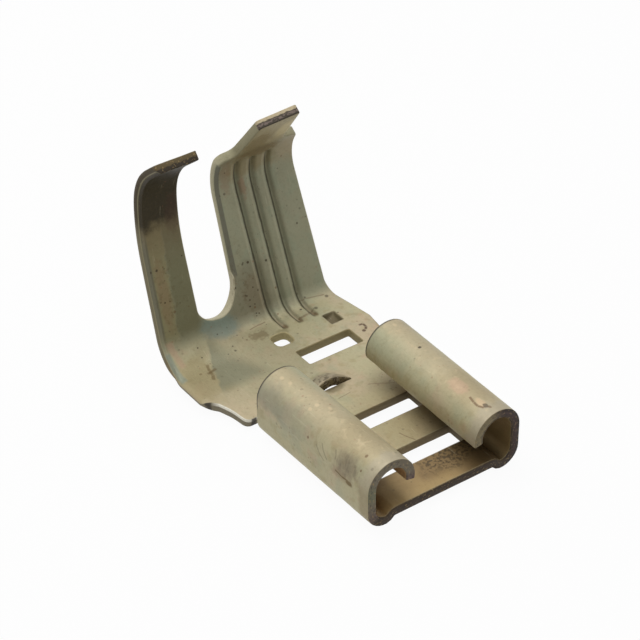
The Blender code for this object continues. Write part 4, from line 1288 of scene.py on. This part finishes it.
def white_to_eye(tree, shader, white, output, share):
    """Give camera, glossy and transmission rays a share of plain white, and other rays the shader."""
    rays = tree.nodes.new("ShaderNodeLightPath").outputs
    seen = Field(tree, rays["Is Camera Ray"]).largest(Field(tree, rays["Is Glossy Ray"]))
    seen = seen.largest(Field(tree, rays["Is Transmission Ray"])) * share
    mix = tree.nodes.new("ShaderNodeMixShader")
    out = tree.nodes.new(output)
    tree.links.new(seen.socket, mix.inputs["Fac"])
    tree.links.new(shader.outputs[0], mix.inputs[1])
    tree.links.new(white.outputs[0], mix.inputs[2])
    tree.links.new(mix.outputs[0], out.inputs["Surface"])


def empty_tree(owner):
    """The node tree of a new world or material, with nothing in it."""
    owner.use_nodes = True
    owner.node_tree.nodes.clear()
    return owner.node_tree


def make_stage():
    """A room and a floor that look white but light the part softly, as the photograph's do."""
    scene = bpy.context.scene
    scene.view_settings.view_transform = "Standard"
    scene.world = bpy.data.worlds.new("studio")
    tree = empty_tree(scene.world)
    backgrounds = []
    for strength in (ROOM_LIGHT, 1.0):
        background = tree.nodes.new("ShaderNodeBackground")
        background.inputs["Strength"].default_value = strength
        background.inputs["Color"].default_value = WHITE
        backgrounds.append(background)
    white_to_eye(tree, *backgrounds, "ShaderNodeOutputWorld", 1.0)

    floor_material = bpy.data.materials.new("floor")
    tree = empty_tree(floor_material)
    paint = tree.nodes.new("ShaderNodeBsdfDiffuse")
    paint.inputs["Color"].default_value = FLOOR_PAINT
    glow = tree.nodes.new("ShaderNodeEmission")
    glow.inputs["Strength"].default_value = 1.0
    white_to_eye(tree, paint, glow, "ShaderNodeOutputMaterial", FLOOR_GLOW_SHARE)
    mesh = bpy.data.meshes.new("floor")
    corners = [(x * FLOOR_REACH, y * FLOOR_REACH, -FLOOR_DROP)
               for x, y in ((-1, -1), (1, -1), (1, 1), (-1, 1))]
    mesh.from_pydata(corners, [], [(0, 1, 2, 3)])
    mesh.materials.append(floor_material)
    floor = bpy.data.objects.new("floor", mesh)
    scene.collection.objects.link(floor)


def make_lamp():
    """A square light overhead, aimed at the origin."""
    data = bpy.data.lights.new("overhead", "AREA")
    data.shape = "SQUARE"
    data.size = LAMP_SIZE
    data.energy = LAMP_POWER
    lamp = bpy.data.objects.new("overhead", data)
    lamp.location = LAMP_PLACE
    lamp.rotation_euler = (-LAMP_PLACE).to_track_quat("-Z", "Y").to_euler()
    bpy.context.scene.collection.objects.link(lamp)


def main():
    make_camera()
    make_stage()
    make_lamp()
    sheet = make_sheet()
    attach(sheet, "root")
    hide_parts("terminal")


main()
